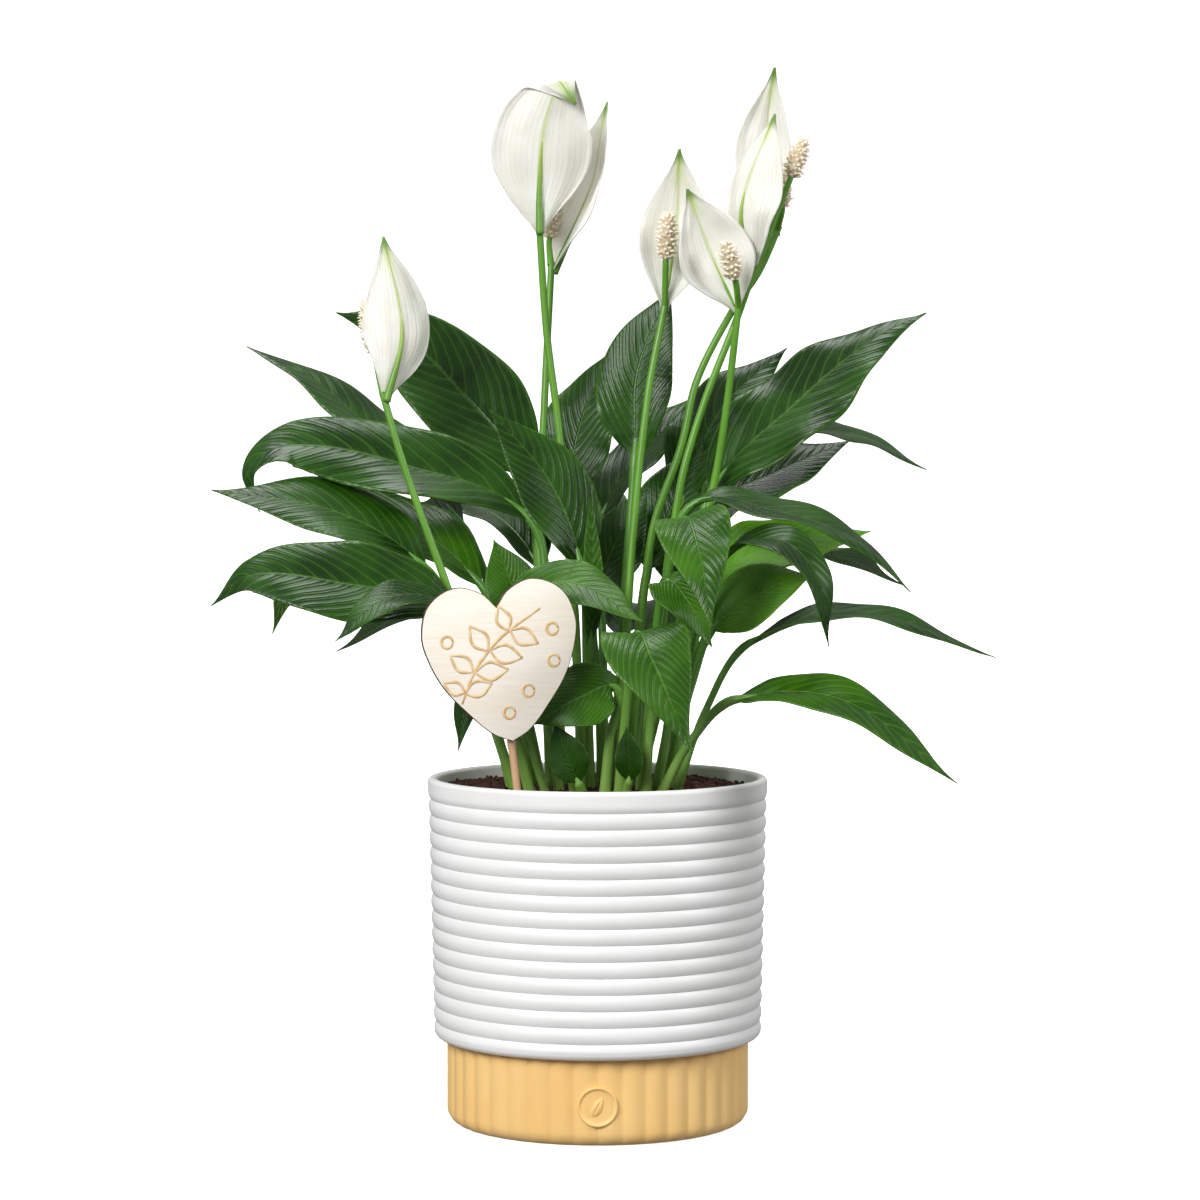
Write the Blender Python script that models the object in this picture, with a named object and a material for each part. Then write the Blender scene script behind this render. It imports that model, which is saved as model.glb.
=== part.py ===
"""Peace lily in a ribbed two-tone pot, with a wooden heart on a stick."""

import math

import bmesh
import bpy
from mathutils import Matrix, Vector
from mathutils.geometry import interpolate_bezier

MM = 0.001
SMOOTH_ANGLE = math.radians(40.0)
UPRIGHT = Vector((0.0, 0.0, 1.0))

# Driving dimensions, in millimetres.
POT_RIM_RADIUS = 72.5
POT_TAPER = 2.5
POT_TOP = 147.5
POT_LOW = 36.5
POT_WALL = 3.0
RIM_BAND = 9.0
RIB_COUNT = 15
RIB_DEPTH = 1.0
LIP_ROUND = 1.2
BASE_STEP = 5.5
BASE_WALL = 4.5
BASE_FLOOR = 4.0
BASE_CORNER = 4.0
FLUTE_COUNT = 40
FLUTE_DEPTH = 0.8
COLLAR_HEIGHT = 7.5
COLLAR_INSET = 1.2
SOIL_BELOW_RIM = 4.5
GAP = 0.3
ROUNDEL_RADIUS = 8.5
ROUNDEL_HEIGHT = 17.0
ROUNDEL_PROUD = 0.5
HEART_WIDTH = 65.0
HEART_HEIGHT = 67.0
HEART_THICKNESS = 3.0
HEART_LEAN = math.radians(7.0)
HEART_TURN = math.radians(10.0)
HEART_FULLNESS = 2.4
HEART_SIDE = -35.0
HEART_FROM_WALL = 12.5
HEART_ABOVE_SOIL = 24.0
STICK_RADIUS = 1.7
STICK_REACH = 24.0
PETIOLE_RADIUS = 2.0
KNEE_OUT = 0.4
KNEE_UP = 0.55
BLADE_THICKNESS = 1.2
STALK_RADIUS = 1.9
SPATHE_THICKNESS = 1.2
STIPE_RADIUS = 1.1
SPADIX_RADIUS = 4.0
SEAT_OFFSET = 1.3
SEAT_RISE = 0.9

# What follows from them.
POT_LOW_RADIUS = POT_RIM_RADIUS - POT_TAPER
BASE_RADIUS = POT_LOW_RADIUS - BASE_STEP
COLLAR_TOP = POT_LOW + COLLAR_HEIGHT
SOIL_TOP = POT_TOP - SOIL_BELOW_RIM
INNER_RADIUS = POT_RIM_RADIUS - RIB_DEPTH - POT_WALL
HEART_POINT = Vector((HEART_SIDE, HEART_FROM_WALL - INNER_RADIUS, SOIL_TOP + HEART_ABOVE_SOIL))

POT_SEGMENTS = 32
LEAF_SEGMENTS = 8
SPATHE_SEGMENTS = 12
SPADIX_SEGMENTS = 8

# Each leaf: foot on the soil, then heel of the blade, points along the midrib and tip, blade width,
# the way its upper side faces at the heel and at the tip, and how deeply it is folded.
# Heights in both tables are above the soil.
LEAVES = {
    "leaf_left_high": (
        (-28, 20), [(-59, 45, 110), (-97, 58, 150), (-128, 70, 176), (-157, 80, 190)],
        38, (0.5, -0.35, 0.8), (0.2, -0.35, 0.9), 0.35),
    "leaf_left_arch": (
        (-20, 0), [(-29, 12, 114), (-85, 12, 138), (-130, 10, 146), (-149, 6, 136), (-145, 8, 117)],
        42, (0.3, -0.6, 0.75), (-0.7, -0.55, 0.4), 0.3),
    "leaf_left_middle": (
        (-36, -5), [(-73, -10, 94), (-112, -7, 118), (-163, -14, 127)],
        38, (0.3, -0.6, 0.75), (0.0, -0.6, 0.8), 0.3),
    "leaf_left_bright": (
        (-28, 4), [(-50, 8, 86), (-91, 20, 115), (-152, 24, 121)],
        38, (0.3, -0.55, 0.8), (0.0, -0.5, 0.85), 0.3),
    "leaf_left_low": (
        (-28, -22), [(-60, -28, 76), (-109, -36, 89), (-144, -38, 92), (-161, -36, 79)],
        42, (0.1, -0.75, 0.65), (-0.3, -0.7, 0.6), 0.3),
    "leaf_left_front": (
        (-21, -29), [(-62, -37, 79), (-86, -52, 83), (-107, -68, 66)],
        20, (0.2, -0.5, 0.85), (-0.2, -0.5, 0.85), 0.3),
    "leaf_left_drooping": (
        (-36, 9), [(-77, 28, 79), (-113, 42, 93), (-135, 46, 84), (-143, 44, 63)],
        30, (0.0, 0.3, 0.95), (-0.6, 0.6, 0.4), 0.3),
    "leaf_centre_glossy": (
        (-3, -12), [(-7, -10, 95), (-21, -4, 131), (-46, 0, 161)],
        34, (0.3, -0.85, 0.4), (0.2, -0.9, 0.4), 0.35),
    "leaf_back_broad": (
        (-20, 15), [(-32, 38, 132), (-58, 50, 167), (-89, 56, 196), (-115, 52, 204)],
        50, (0.4, -0.85, 0.3), (0.1, -0.9, 0.5), 0.25),
    "leaf_back_narrow": (
        (-7, 15), [(-13, 34, 120), (-7, 44, 157), (8, 52, 190)],
        34, (-0.1, -0.9, 0.3), (-0.4, -0.8, 0.4), 0.35),
    "leaf_upright": (
        (8, 7), [(16, 18, 141), (17, 24, 177), (32, 26, 215)],
        34, (-0.2, -0.95, 0.1), (-0.3, -0.9, 0.2), 0.35),
    "leaf_right_thin": (
        (3, 24), [(1, 60, 112), (25, 78, 148), (63, 90, 178)],
        32, (-0.4, -0.5, 0.75), (-0.3, -0.4, 0.85), 0.4),
    "leaf_right_large": (
        (33, 4), [(49, 16, 126), (86, 22, 164), (118, 26, 191), (142, 26, 203)],
        46, (-0.5, -0.75, 0.4), (-0.2, -0.6, 0.75), 0.25),
    "leaf_right_behind": (
        (18, 17), [(38, 44, 122), (54, 58, 161), (84, 68, 189)],
        38, (-0.5, -0.75, 0.3), (-0.4, -0.75, 0.5), 0.3),
    "leaf_right_back": (
        (33, 23), [(65, 50, 144), (112, 62, 151), (146, 64, 135)],
        32, (-0.2, -0.25, 0.95), (0.3, -0.25, 0.9), 0.3),
    "leaf_right_middle": (
        (30, 13), [(46, 24, 116), (77, 30, 134), (110, 34, 148)],
        36, (-0.3, -0.6, 0.7), (-0.1, -0.6, 0.75), 0.3),
    "leaf_right_arch": (
        (19, -8), [(39, -14, 120), (76, -25, 118), (110, -35, 105), (130, -42, 85)],
        27, (-0.1, -0.35, 0.95), (0.6, -0.3, 0.75), 0.3),
    "leaf_right_lime": (
        (26, -1), [(44, -1, 85), (80, 3, 104), (117, 8, 109)],
        38, (-0.2, -0.6, 0.8), (0.0, -0.6, 0.8), 0.3),
    "leaf_right_hook": (
        (24, -17), [(52, -30, 98), (74, -50, 107), (90, -58, 92), (95, -60, 63)],
        23, (0.0, -0.5, 0.85), (0.8, -0.55, 0.2), 0.35),
    "leaf_right_short": (
        (29, -9), [(48, -20, 68), (70, -26, 85), (90, -30, 92)],
        32, (-0.3, -0.75, 0.6), (-0.1, -0.75, 0.65), 0.3),
    "leaf_front_hanging": (
        (18, -22), [(35, -40, 114), (41, -64, 104), (46, -80, 72)],
        32, (-0.1, -0.5, 0.85), (0.0, -0.9, 0.4), 0.3),
    "leaf_front_dark": (
        (20, -29), [(28, -46, 89), (36, -56, 83), (47, -62, 63)],
        26, (0.1, -0.6, 0.8), (0.2, -0.9, 0.4), 0.3),
    "leaf_front_heart": (
        (9, -33), [(16, -55, 68), (22, -77, 59), (38, -90, 22)],
        37, (0.0, -0.6, 0.8), (0.1, -0.9, 0.4), 0.25),
    "leaf_right_reaching": (
        (33, -17), [(64, -24, 63), (111, -38, 76), (165, -44, 58)],
        21, (0.0, -0.3, 0.95), (0.4, -0.35, 0.85), 0.35),
    "leaf_right_lowest": (
        (26, -25), [(57, -38, 40), (101, -58, 41), (147, -70, 8)],
        28, (0.0, -0.5, 0.85), (0.5, -0.5, 0.7), 0.3),
    "leaf_behind_sign": (
        (-9, -25), [(-35, -29, 76), (-14, -31, 89), (19, -52, 73)],
        24, (0.0, -0.6, 0.8), (0.3, -0.8, 0.5), 0.3),
    "leaf_under_sign": (
        (-27, -30), [(-43, -39, 43), (-53, -43, 41), (-58, -44, 19)],
        16, (-0.3, -0.6, 0.7), (-0.6, -0.75, 0.2), 0.3),
    "leaf_low_centre": (
        (3, -31), [(8, -32, 44), (-8, -42, 41), (-27, -46, 30)],
        28, (0.0, -0.9, 0.4), (0.0, -0.9, 0.4), 0.2),
    "leaf_rear_left": (
        (-14, 28), [(-26, 54, 92), (-56, 92, 119), (-95, 124, 115)],
        44, (0.1, 0.1, 0.95), (-0.4, 0.4, 0.8), 0.3),
    "leaf_rear_centre": (
        (-4, 32), [(-5, 58, 97), (-12, 100, 125), (-25, 148, 115)],
        46, (0.0, -0.2, 0.95), (0.0, 0.5, 0.85), 0.3),
    "leaf_rear_right": (
        (16, 27), [(30, 52, 87), (55, 92, 119), (85, 132, 111)],
        46, (-0.1, 0.1, 0.95), (0.4, 0.4, 0.8), 0.3),
    "leaf_rear_far_right": (
        (31, 30), [(56, 37, 77), (97, 60, 99), (138, 84, 83)],
        38, (-0.1, 0.0, 0.95), (0.4, 0.3, 0.85), 0.3),
    "leaf_rear_low": (
        (8, 34), [(10, 47, 62), (20, 88, 74), (38, 128, 45)],
        34, (0.0, 0.1, 0.95), (0.1, 0.6, 0.8), 0.3),
    "leaf_rear_low_left": (
        (-24, 30), [(-45, 44, 63), (-80, 66, 73), (-118, 88, 53)],
        34, (-0.1, 0.1, 0.95), (-0.5, 0.4, 0.8), 0.3),
}

# Each flower: foot on the soil, points of the stalk up to its top, midrib of the spathe with its tip
# last, spathe width, the way its open side faces at the heel and the tip, how far it wraps round,
# and where the spadix starts and ends.
FLOWERS = {
    "flower_left": (
        (-34, -15), [(-63, -18, 85), (-81, -14, 135), (-91, -10, 168)],
        [(-83, -8, 194), (-91, -2, 234)],
        36, (-0.4, 0.9, 0.1), (-0.4, 0.9, 0.1), 1.0, (-98, -3, 185), (-103, 1, 207)),
    "flower_tallest": (
        (-5, -2), [(-16, 14, 146), (-22, 16, 195), (-25, 14, 240)],
        [(-23, 12, 277), (-17, 5, 293), (-8, -8, 281)],
        44, (0.0, 1.0, 0.0), (0.0, 1.0, 0.6), 0.6, (-25, 24, 251), (-25, 26, 275)),
    "flower_narrow": (
        (-13, 7), [(-25, 20, 96), (-23, 27, 165), (-20, 32, 225)],
        [(-5, 38, 260), (-2, 40, 279), (2, 40, 294)],
        28, (-0.9, 0.1, 0.4), (-0.95, 0.1, 0.2), 0.9, (-21, 38, 236), (-19, 40, 256)),
    "flower_front": (
        (9, -14), [(14, -4, 94), (21, 2, 164), (29, 8, 207)],
        [(34, 15, 242), (35, 10, 272)],
        36, (0.0, -0.95, 0.2), (0.0, -0.95, 0.1), 0.9, (29, 2, 225), (30, 0, 243)),
    "flower_leaning": (
        (17, 1), [(49, 8, 126), (55, 5, 162), (60, 0, 206)],
        [(47, 1, 230), (38, -4, 254)],
        40, (0.25, -0.9, 0.35), (0.25, -0.9, 0.35), 0.8, (58, -9, 216), (54, -13, 230)),
    "flower_right": (
        (18, 8), [(35, 8, 126), (45, 10, 162), (60, 11, 201), (68, 11, 224)],
        [(62, 6, 247), (76, 12, 287)],
        36, (0.7, 0.7, 0.0), (0.7, 0.7, 0.0), 0.9, (83, 17, 261), (88, 18, 276)),
    "flower_behind": (
        (13, 15), [(23, 20, 105), (36, 22, 145), (43, 26, 174), (59, 31, 205), (70, 35, 221), (79, 38, 241)],
        [(73, 47, 271), (77, 42, 310)],
        28, (-0.2, -0.95, 0.0), (-0.2, -0.95, 0.0), 0.9, (80, 31, 249), (79, 29, 263)),
}

# Share of the full blade width at points from the heel (0) to the tip (1).
LEAF_OUTLINE = [
    (0.0, 0.13), (0.07, 0.42), (0.17, 0.74), (0.3, 0.96), (0.44, 1.0),
    (0.58, 0.9), (0.72, 0.68), (0.84, 0.42), (0.93, 0.2), (1.0, 0.05),
]
SPATHE_OUTLINE = [
    (0.0, 0.12), (0.08, 0.5), (0.2, 0.84), (0.36, 1.0), (0.52, 0.95),
    (0.67, 0.74), (0.8, 0.46), (0.91, 0.2), (1.0, 0.05),
]
SPADIX_OUTLINE = [(0.0, 0.5), (0.12, 0.86), (0.35, 1.0), (0.7, 0.92), (0.92, 0.6), (1.0, 0.3)]
PETIOLE_STATIONS = [0.0, 0.3, 0.6, 0.85]


def cleared():
    """Empties the scene that the program starts with."""
    for item in list(bpy.data.objects):
        bpy.data.objects.remove(item, do_unlink=True)


def collection_named(name, hidden):
    group = bpy.data.collections.new(name)
    bpy.context.scene.collection.children.link(group)
    group.hide_render = hidden
    return group


def material(name, colour, roughness, metallic=0.0):
    made = bpy.data.materials.new(name)
    made.use_nodes = True
    shader = made.node_tree.nodes["Principled BSDF"]
    shader.inputs["Base Color"].default_value = (*colour, 1.0)
    shader.inputs["Roughness"].default_value = roughness
    shader.inputs["Metallic"].default_value = metallic
    return made


def placed(name, bm, look, group):
    """Turns millimetres into metres and hands the mesh over as a named object."""
    bmesh.ops.transform(bm, matrix=Matrix.Scale(MM, 4), verts=bm.verts)
    mesh = bpy.data.meshes.new(name)
    bm.to_mesh(mesh)
    bm.free()
    mesh.shade_smooth()
    mesh.set_sharp_from_angle(angle=SMOOTH_ANGLE)
    item = bpy.data.objects.new(name, mesh)
    item.data.materials.append(look)
    group.objects.link(item)
    return item


def turned(profile, segments):
    """A profile that starts and ends on the axis, turned once round it."""
    bm = bmesh.new()
    verts = [bm.verts.new((radius, 0.0, height)) for radius, height in profile]
    edges = [bm.edges.new(pair) for pair in zip(verts, verts[1:])]
    bmesh.ops.spin(
        bm, geom=verts + edges, cent=(0, 0, 0), axis=(0, 0, 1),
        angle=math.tau, steps=segments, use_merge=True,
    )
    bmesh.ops.remove_doubles(bm, verts=bm.verts, dist=0.001)
    bmesh.ops.recalc_face_normals(bm, faces=bm.faces)
    return bm


class Route:
    """A smooth line through points, measured along its length. Its first section can be set square."""

    def __init__(self, points, square_to=None):
        points = [Vector(point) for point in points]
        self.square_to = square_to
        ends = [points[0] * 2 - points[1]] + points + [points[-1] * 2 - points[-2]]
        self.spots = [points[0]]
        self.marks = [0]
        for before, here, there, after in zip(ends, ends[1:], ends[2:], ends[3:]):
            span = (there - here).length
            leave = (there - before).normalized() * span / 3
            arrive = (after - here).normalized() * span / 3
            piece = interpolate_bezier(here, here + leave, there - arrive, there, 13)
            self.spots += piece[1:]
            self.marks.append(len(self.spots) - 1)
        self.lengths = [0.0]
        for first, second in zip(self.spots, self.spots[1:]):
            self.lengths.append(self.lengths[-1] + (second - first).length)

    def length_to(self, point_index):
        return self.lengths[self.marks[point_index]]

    def at(self, length):
        """The position and the direction at this length."""
        if length == 0.0 and self.square_to:
            return self.spots[0], self.square_to
        index = 1
        while index < len(self.spots) - 1 and self.lengths[index] < length:
            index += 1
        first = self.spots[index - 1]
        second = self.spots[index]
        share = (length - self.lengths[index - 1]) / (self.lengths[index] - self.lengths[index - 1])
        before = self.spots[max(index - 2, 0)]
        after = self.spots[min(index + 1, len(self.spots) - 1)]
        return first.lerp(second, share), (after - before).normalized()


def above_soil(point):
    return Vector(point) + UPRIGHT * SOIL_TOP


def blended(first, second, share):
    return first + (second - first) * share


def skinned(route, rings, segments):
    """A tube along the route. A ring is its length along, half width, half thickness, face, fold, wrap."""
    bm = bmesh.new()
    bmesh.ops.create_cone(bm, cap_ends=True, segments=segments, radius1=1.0, radius2=1.0, depth=1.0)
    lengthwise = [edge for edge in bm.edges if abs(edge.verts[0].co.z - edge.verts[1].co.z) > 0.5]
    bmesh.ops.subdivide_edges(bm, edges=lengthwise, cuts=len(rings) - 2)
    for vert in bm.verts:
        step = round((vert.co.z + 0.5) * (len(rings) - 1))
        length, half_width, half_thickness, face, fold, wrap = rings[step]
        centre, along = route.at(length)
        up = (face - along * face.dot(along)).normalized()
        across = up.cross(along)
        flat = Vector((vert.co.x, vert.co.y)).normalized()
        bend = flat.x * wrap
        side = half_width * math.sin(bend) / wrap
        lift = half_width * (1 - math.cos(bend)) / wrap + fold * abs(side)
        vert.co = centre + across * side + up * (lift + half_thickness * flat.y)
    return bm


def grown_leaf(name, foot, points, width, face_low, face_high, fold, look, group):
    """A round leaf stalk that opens into a folded blade."""
    start = above_soil((foot[0], foot[1], GAP))
    points = [above_soil(point) for point in points]
    knee = start.lerp(points[0], KNEE_OUT)
    knee.z = blended(start.z, points[0].z, KNEE_UP)
    route = Route([start, knee] + points, UPRIGHT)
    heel_length = route.length_to(2)
    blade_length = route.lengths[-1] - heel_length
    low = Vector(face_low)
    high = Vector(face_high)
    rings = [
        (heel_length * share, PETIOLE_RADIUS, PETIOLE_RADIUS, low, 0.0, 0.01)
        for share in PETIOLE_STATIONS
    ]
    for share, wide in LEAF_OUTLINE:
        half_width = max(width * wide / 2, PETIOLE_RADIUS * (1 - share) + 0.5 * share)
        half_thickness = max(BLADE_THICKNESS / 2, PETIOLE_RADIUS * (1 - share * 6))
        open_fold = fold * min(1.0, share * 8)
        rings.append((
            heel_length + blade_length * share, half_width, half_thickness,
            blended(low, high, share), open_fold, 0.01,
        ))
    return placed(name, skinned(route, rings, LEAF_SEGMENTS), look, group)


def grown_flower(name, foot, stem, rib, width, face_low, face_high, wrap, first, last, looks, group):
    """Stalk, spathe and spadix, each its own solid."""
    start = above_soil((foot[0], foot[1], GAP))
    stalk = Route([start] + [above_soil(point) for point in stem], UPRIGHT)
    top, along = stalk.at(stalk.lengths[-1])
    low = Vector(face_low)
    high = Vector(face_high)
    count = 2 + 3 * len(stem)
    rings = [
        (stalk.lengths[-1] * step / count, STALK_RADIUS, STALK_RADIUS, low, 0.0, 0.01)
        for step in range(count + 1)
    ]
    placed(name + "_stalk", skinned(stalk, rings, LEAF_SEGMENTS), looks[0], group)

    inward = (low - along * low.dot(along)).normalized()
    heel = top + along * (GAP + SEAT_RISE) - inward * SEAT_OFFSET
    route = Route([heel] + [above_soil(point) for point in rib])
    rings = []
    for share, wide in SPATHE_OUTLINE:
        half_width = max(width * wide / 2, 0.5)
        rings.append((
            route.lengths[-1] * share, half_width, SPATHE_THICKNESS / 2,
            blended(low, high, share), 0.0, wrap,
        ))
    placed(name + "_spathe", skinned(route, rings, SPATHE_SEGMENTS), looks[1], group)

    neck = top + along * (GAP + SEAT_RISE) + inward * SEAT_OFFSET
    stipe = Route([neck, above_soil(first), above_soil(last)])
    stipe_length = stipe.length_to(1)
    rings = [
        (stipe_length * share, STIPE_RADIUS, STIPE_RADIUS, low, 0.0, 0.01)
        for share in (0.0, 0.5, 0.98)
    ]
    for share, wide in SPADIX_OUTLINE:
        length = stipe_length + (stipe.lengths[-1] - stipe_length) * share
        rings.append((length, SPADIX_RADIUS * wide, SPADIX_RADIUS * wide, low, 0.0, 0.01))
    placed(name + "_spadix", skinned(stipe, rings, SPADIX_SEGMENTS), looks[2], group)


def pot_profile():
    """From the lip down the ribs, under the lower edge, up to the ledge and back up the inner wall."""
    rim = POT_RIM_RADIUS
    inner_top = INNER_RADIUS
    inner_low = POT_LOW_RADIUS - RIB_DEPTH - POT_WALL
    ledge_inner = BASE_RADIUS - BASE_WALL
    recess = (BASE_RADIUS + GAP) / math.cos(math.pi / POT_SEGMENTS)
    profile = [
        (inner_top + LIP_ROUND * 0.3, POT_TOP - LIP_ROUND * 0.3),
        (inner_top + LIP_ROUND, POT_TOP),
        (rim - LIP_ROUND, POT_TOP),
        (rim - LIP_ROUND * 0.3, POT_TOP - LIP_ROUND * 0.3),
        (rim, POT_TOP - LIP_ROUND),
        (rim, POT_TOP - RIM_BAND * 0.75),
    ]
    top = POT_TOP - RIM_BAND
    pitch = (top - POT_LOW) / RIB_COUNT
    for index in range(RIB_COUNT):
        high = top - pitch * index
        share = (POT_TOP - high) / (POT_TOP - POT_LOW)
        radius = blended(POT_RIM_RADIUS, POT_LOW_RADIUS, share)
        profile.append((radius - RIB_DEPTH, high))
        profile.append((radius, high - pitch * 0.3))
        if index < RIB_COUNT - 1:
            profile.append((radius, high - pitch * 0.7))
    profile += [
        (POT_LOW_RADIUS - 0.6, POT_LOW + 1.2),
        (POT_LOW_RADIUS - 2.2, POT_LOW),
        (recess, POT_LOW),
        (recess, COLLAR_TOP + GAP),
        (ledge_inner, COLLAR_TOP + GAP),
        (ledge_inner, COLLAR_TOP + GAP + POT_WALL),
        (inner_low, COLLAR_TOP + GAP + POT_WALL * 2),
        (inner_top, POT_TOP - LIP_ROUND),
    ]
    return profile


def ring_turned(profile, segments):
    """A closed profile clear of the axis, turned once round it."""
    bm = bmesh.new()
    verts = [bm.verts.new((radius, 0.0, height)) for radius, height in profile]
    edges = [bm.edges.new(pair) for pair in zip(verts, verts[1:] + verts[:1])]
    bmesh.ops.spin(
        bm, geom=verts + edges, cent=(0, 0, 0), axis=(0, 0, 1),
        angle=math.tau, steps=segments, use_merge=True,
    )
    bmesh.ops.remove_doubles(bm, verts=bm.verts, dist=0.001)
    bmesh.ops.recalc_face_normals(bm, faces=bm.faces)
    return bm


def fluted_base(look, group, helpers):
    """A cup with upright flutes outside and a plain collar that stands inside the pot body."""
    inner = BASE_RADIUS - BASE_WALL
    collar = BASE_RADIUS - COLLAR_INSET
    bm = turned(
        [
            (0.0, 0.0),
            (BASE_RADIUS - BASE_CORNER, 0.0),
            (BASE_RADIUS - BASE_CORNER * 0.3, BASE_CORNER * 0.3),
            (BASE_RADIUS, BASE_CORNER),
            (BASE_RADIUS, POT_LOW + 1.0),
            (collar, POT_LOW + 2.0),
            (collar, COLLAR_TOP),
            (inner, COLLAR_TOP),
            (inner, BASE_FLOOR),
            (0.0, BASE_FLOOR),
        ],
        FLUTE_COUNT * 3,
    )
    for vert in bm.verts:
        radius = math.hypot(vert.co.x, vert.co.y)
        angle = math.atan2(vert.co.y, vert.co.x) % (math.tau / FLUTE_COUNT)
        valley = min(angle, math.tau / FLUTE_COUNT - angle) < math.pi / FLUTE_COUNT / 3
        if radius > collar + 0.01 and valley:
            vert.co.xy *= (radius - FLUTE_DEPTH) / radius
    base = placed("pot_base", bm, look, group)

    bm = bmesh.new()
    reach = ROUNDEL_PROUD + BASE_WALL / 2
    bmesh.ops.create_cone(
        bm, cap_ends=True, segments=24, radius1=ROUNDEL_RADIUS, radius2=ROUNDEL_RADIUS - 0.4, depth=reach,
    )
    spot = Vector((0.0, reach / 2 - BASE_RADIUS - ROUNDEL_PROUD, ROUNDEL_HEIGHT))
    bmesh.ops.transform(bm, matrix=Matrix.Translation(spot) @ Matrix.Rotation(math.pi / 2, 4, "X"), verts=bm.verts)
    disc = placed("roundel_blank", bm, look, helpers)
    disc.hide_render = True
    disc.display_type = "WIRE"
    join = base.modifiers.new("roundel", "BOOLEAN")
    join.operation = "UNION"
    join.solver = "EXACT"
    join.object = disc
    return base


def soil(look, group):
    wall = INNER_RADIUS - GAP
    wall_low = POT_LOW_RADIUS - RIB_DEPTH - POT_WALL - GAP
    inner = BASE_RADIUS - BASE_WALL - GAP * 2
    share = (POT_TOP - SOIL_TOP) / (POT_TOP - COLLAR_TOP)
    bm = turned(
        [
            (0.0, BASE_FLOOR + GAP),
            (inner, BASE_FLOOR + GAP),
            (inner, COLLAR_TOP + POT_WALL + GAP * 2),
            (wall_low - GAP, COLLAR_TOP + POT_WALL * 2 + GAP * 3),
            (blended(wall, wall_low, share), SOIL_TOP),
            (0.0, SOIL_TOP),
        ],
        POT_SEGMENTS,
    )
    return placed("potting_soil", bm, look, group)


def heart_sign(look, group):
    """The flat heart, point down, leaning and turned a little about its own point."""
    bm = bmesh.new()
    count = 40
    verts = []
    for index in range(count):
        angle = math.tau * index / count
        side = math.copysign(abs(math.sin(angle)) ** HEART_FULLNESS, math.sin(angle))
        rise = 13 * math.cos(angle) - 5 * math.cos(2 * angle) - 2 * math.cos(3 * angle) - math.cos(4 * angle)
        verts.append(bm.verts.new((side * HEART_WIDTH / 2, 0.0, (rise + 17) / 29 * HEART_HEIGHT)))
    face = bm.faces.new(verts)
    wall = bmesh.ops.extrude_face_region(bm, geom=[face])
    moved = [item for item in wall["geom"] if isinstance(item, bmesh.types.BMVert)]
    bmesh.ops.translate(bm, verts=moved, vec=(0, HEART_THICKNESS, 0))
    bmesh.ops.translate(bm, verts=bm.verts, vec=(0, -HEART_THICKNESS / 2, 0))
    bmesh.ops.transform(bm, matrix=sign_frame(), verts=bm.verts)
    bmesh.ops.recalc_face_normals(bm, faces=bm.faces)
    return placed("heart_sign", bm, look, group)


def sign_frame():
    lean = Matrix.Rotation(-HEART_LEAN, 4, "Y")
    turn = Matrix.Rotation(HEART_TURN, 4, "Z")
    return Matrix.Translation(HEART_POINT) @ lean @ turn


def sign_stick(look, group):
    """A round stick behind the heart, down to the soil."""
    bm = bmesh.new()
    bmesh.ops.create_cone(
        bm, cap_ends=True, segments=12, radius1=STICK_RADIUS, radius2=STICK_RADIUS, depth=1.0,
    )
    frame = sign_frame()
    back = HEART_THICKNESS / 2 + STICK_RADIUS + GAP
    top = frame @ Vector((0.0, back, STICK_REACH))
    along = (frame.to_3x3() @ Vector((0, 0, 1))).normalized()
    foot = top - along * ((top.z - SOIL_TOP - GAP - STICK_RADIUS) / along.z)
    for vert in bm.verts:
        high = vert.co.z > 0
        centre = top if high else foot
        vert.co = centre + (frame.to_3x3() @ Vector((vert.co.x, vert.co.y, 0.0)))
    return placed("sign_stick", bm, look, group)


def build():
    cleared()
    group = collection_named("potted_peace_lily", False)
    helpers = collection_named("cutters", True)
    white_glaze = material("white_glaze", (0.84, 0.84, 0.82), 0.45)
    yellow_glaze = material("yellow_glaze", (0.8, 0.55, 0.25), 0.5)
    earth = material("earth", (0.03, 0.012, 0.01), 0.95)
    plywood = material("plywood", (0.9, 0.84, 0.74), 0.6)
    stick_wood = material("stick_wood", (0.5, 0.28, 0.15), 0.6)
    leaf_green = material("leaf_green", (0.02, 0.1, 0.015), 0.3)
    lime_green = material("lime_green", (0.08, 0.24, 0.015), 0.35)
    stalk_green = material("stalk_green", (0.09, 0.27, 0.04), 0.4)
    spathe_white = material("spathe_white", (0.82, 0.82, 0.75), 0.5)
    spadix_cream = material("spadix_cream", (0.8, 0.7, 0.5), 0.7)
    placed("pot_body", ring_turned(pot_profile(), POT_SEGMENTS), white_glaze, group)
    fluted_base(yellow_glaze, group, helpers)
    soil(earth, group)
    heart_sign(plywood, group)
    sign_stick(stick_wood, group)
    for name, (foot, points, width, low, high, fold) in LEAVES.items():
        look = lime_green if name == "leaf_right_lime" else leaf_green
        grown_leaf(name, foot, points, width, low, high, fold, look, group)
    looks = (stalk_green, spathe_white, spadix_cream)
    for name, (foot, stem, rib, width, low, high, wrap, first, last) in FLOWERS.items():
        grown_flower(name, foot, stem, rib, width, low, high, wrap, first, last, looks, group)


build()
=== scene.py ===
import math
import random

import bmesh
import bpy
from mathutils import Matrix, Vector, noise
from mathutils.geometry import interpolate_bezier


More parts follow.
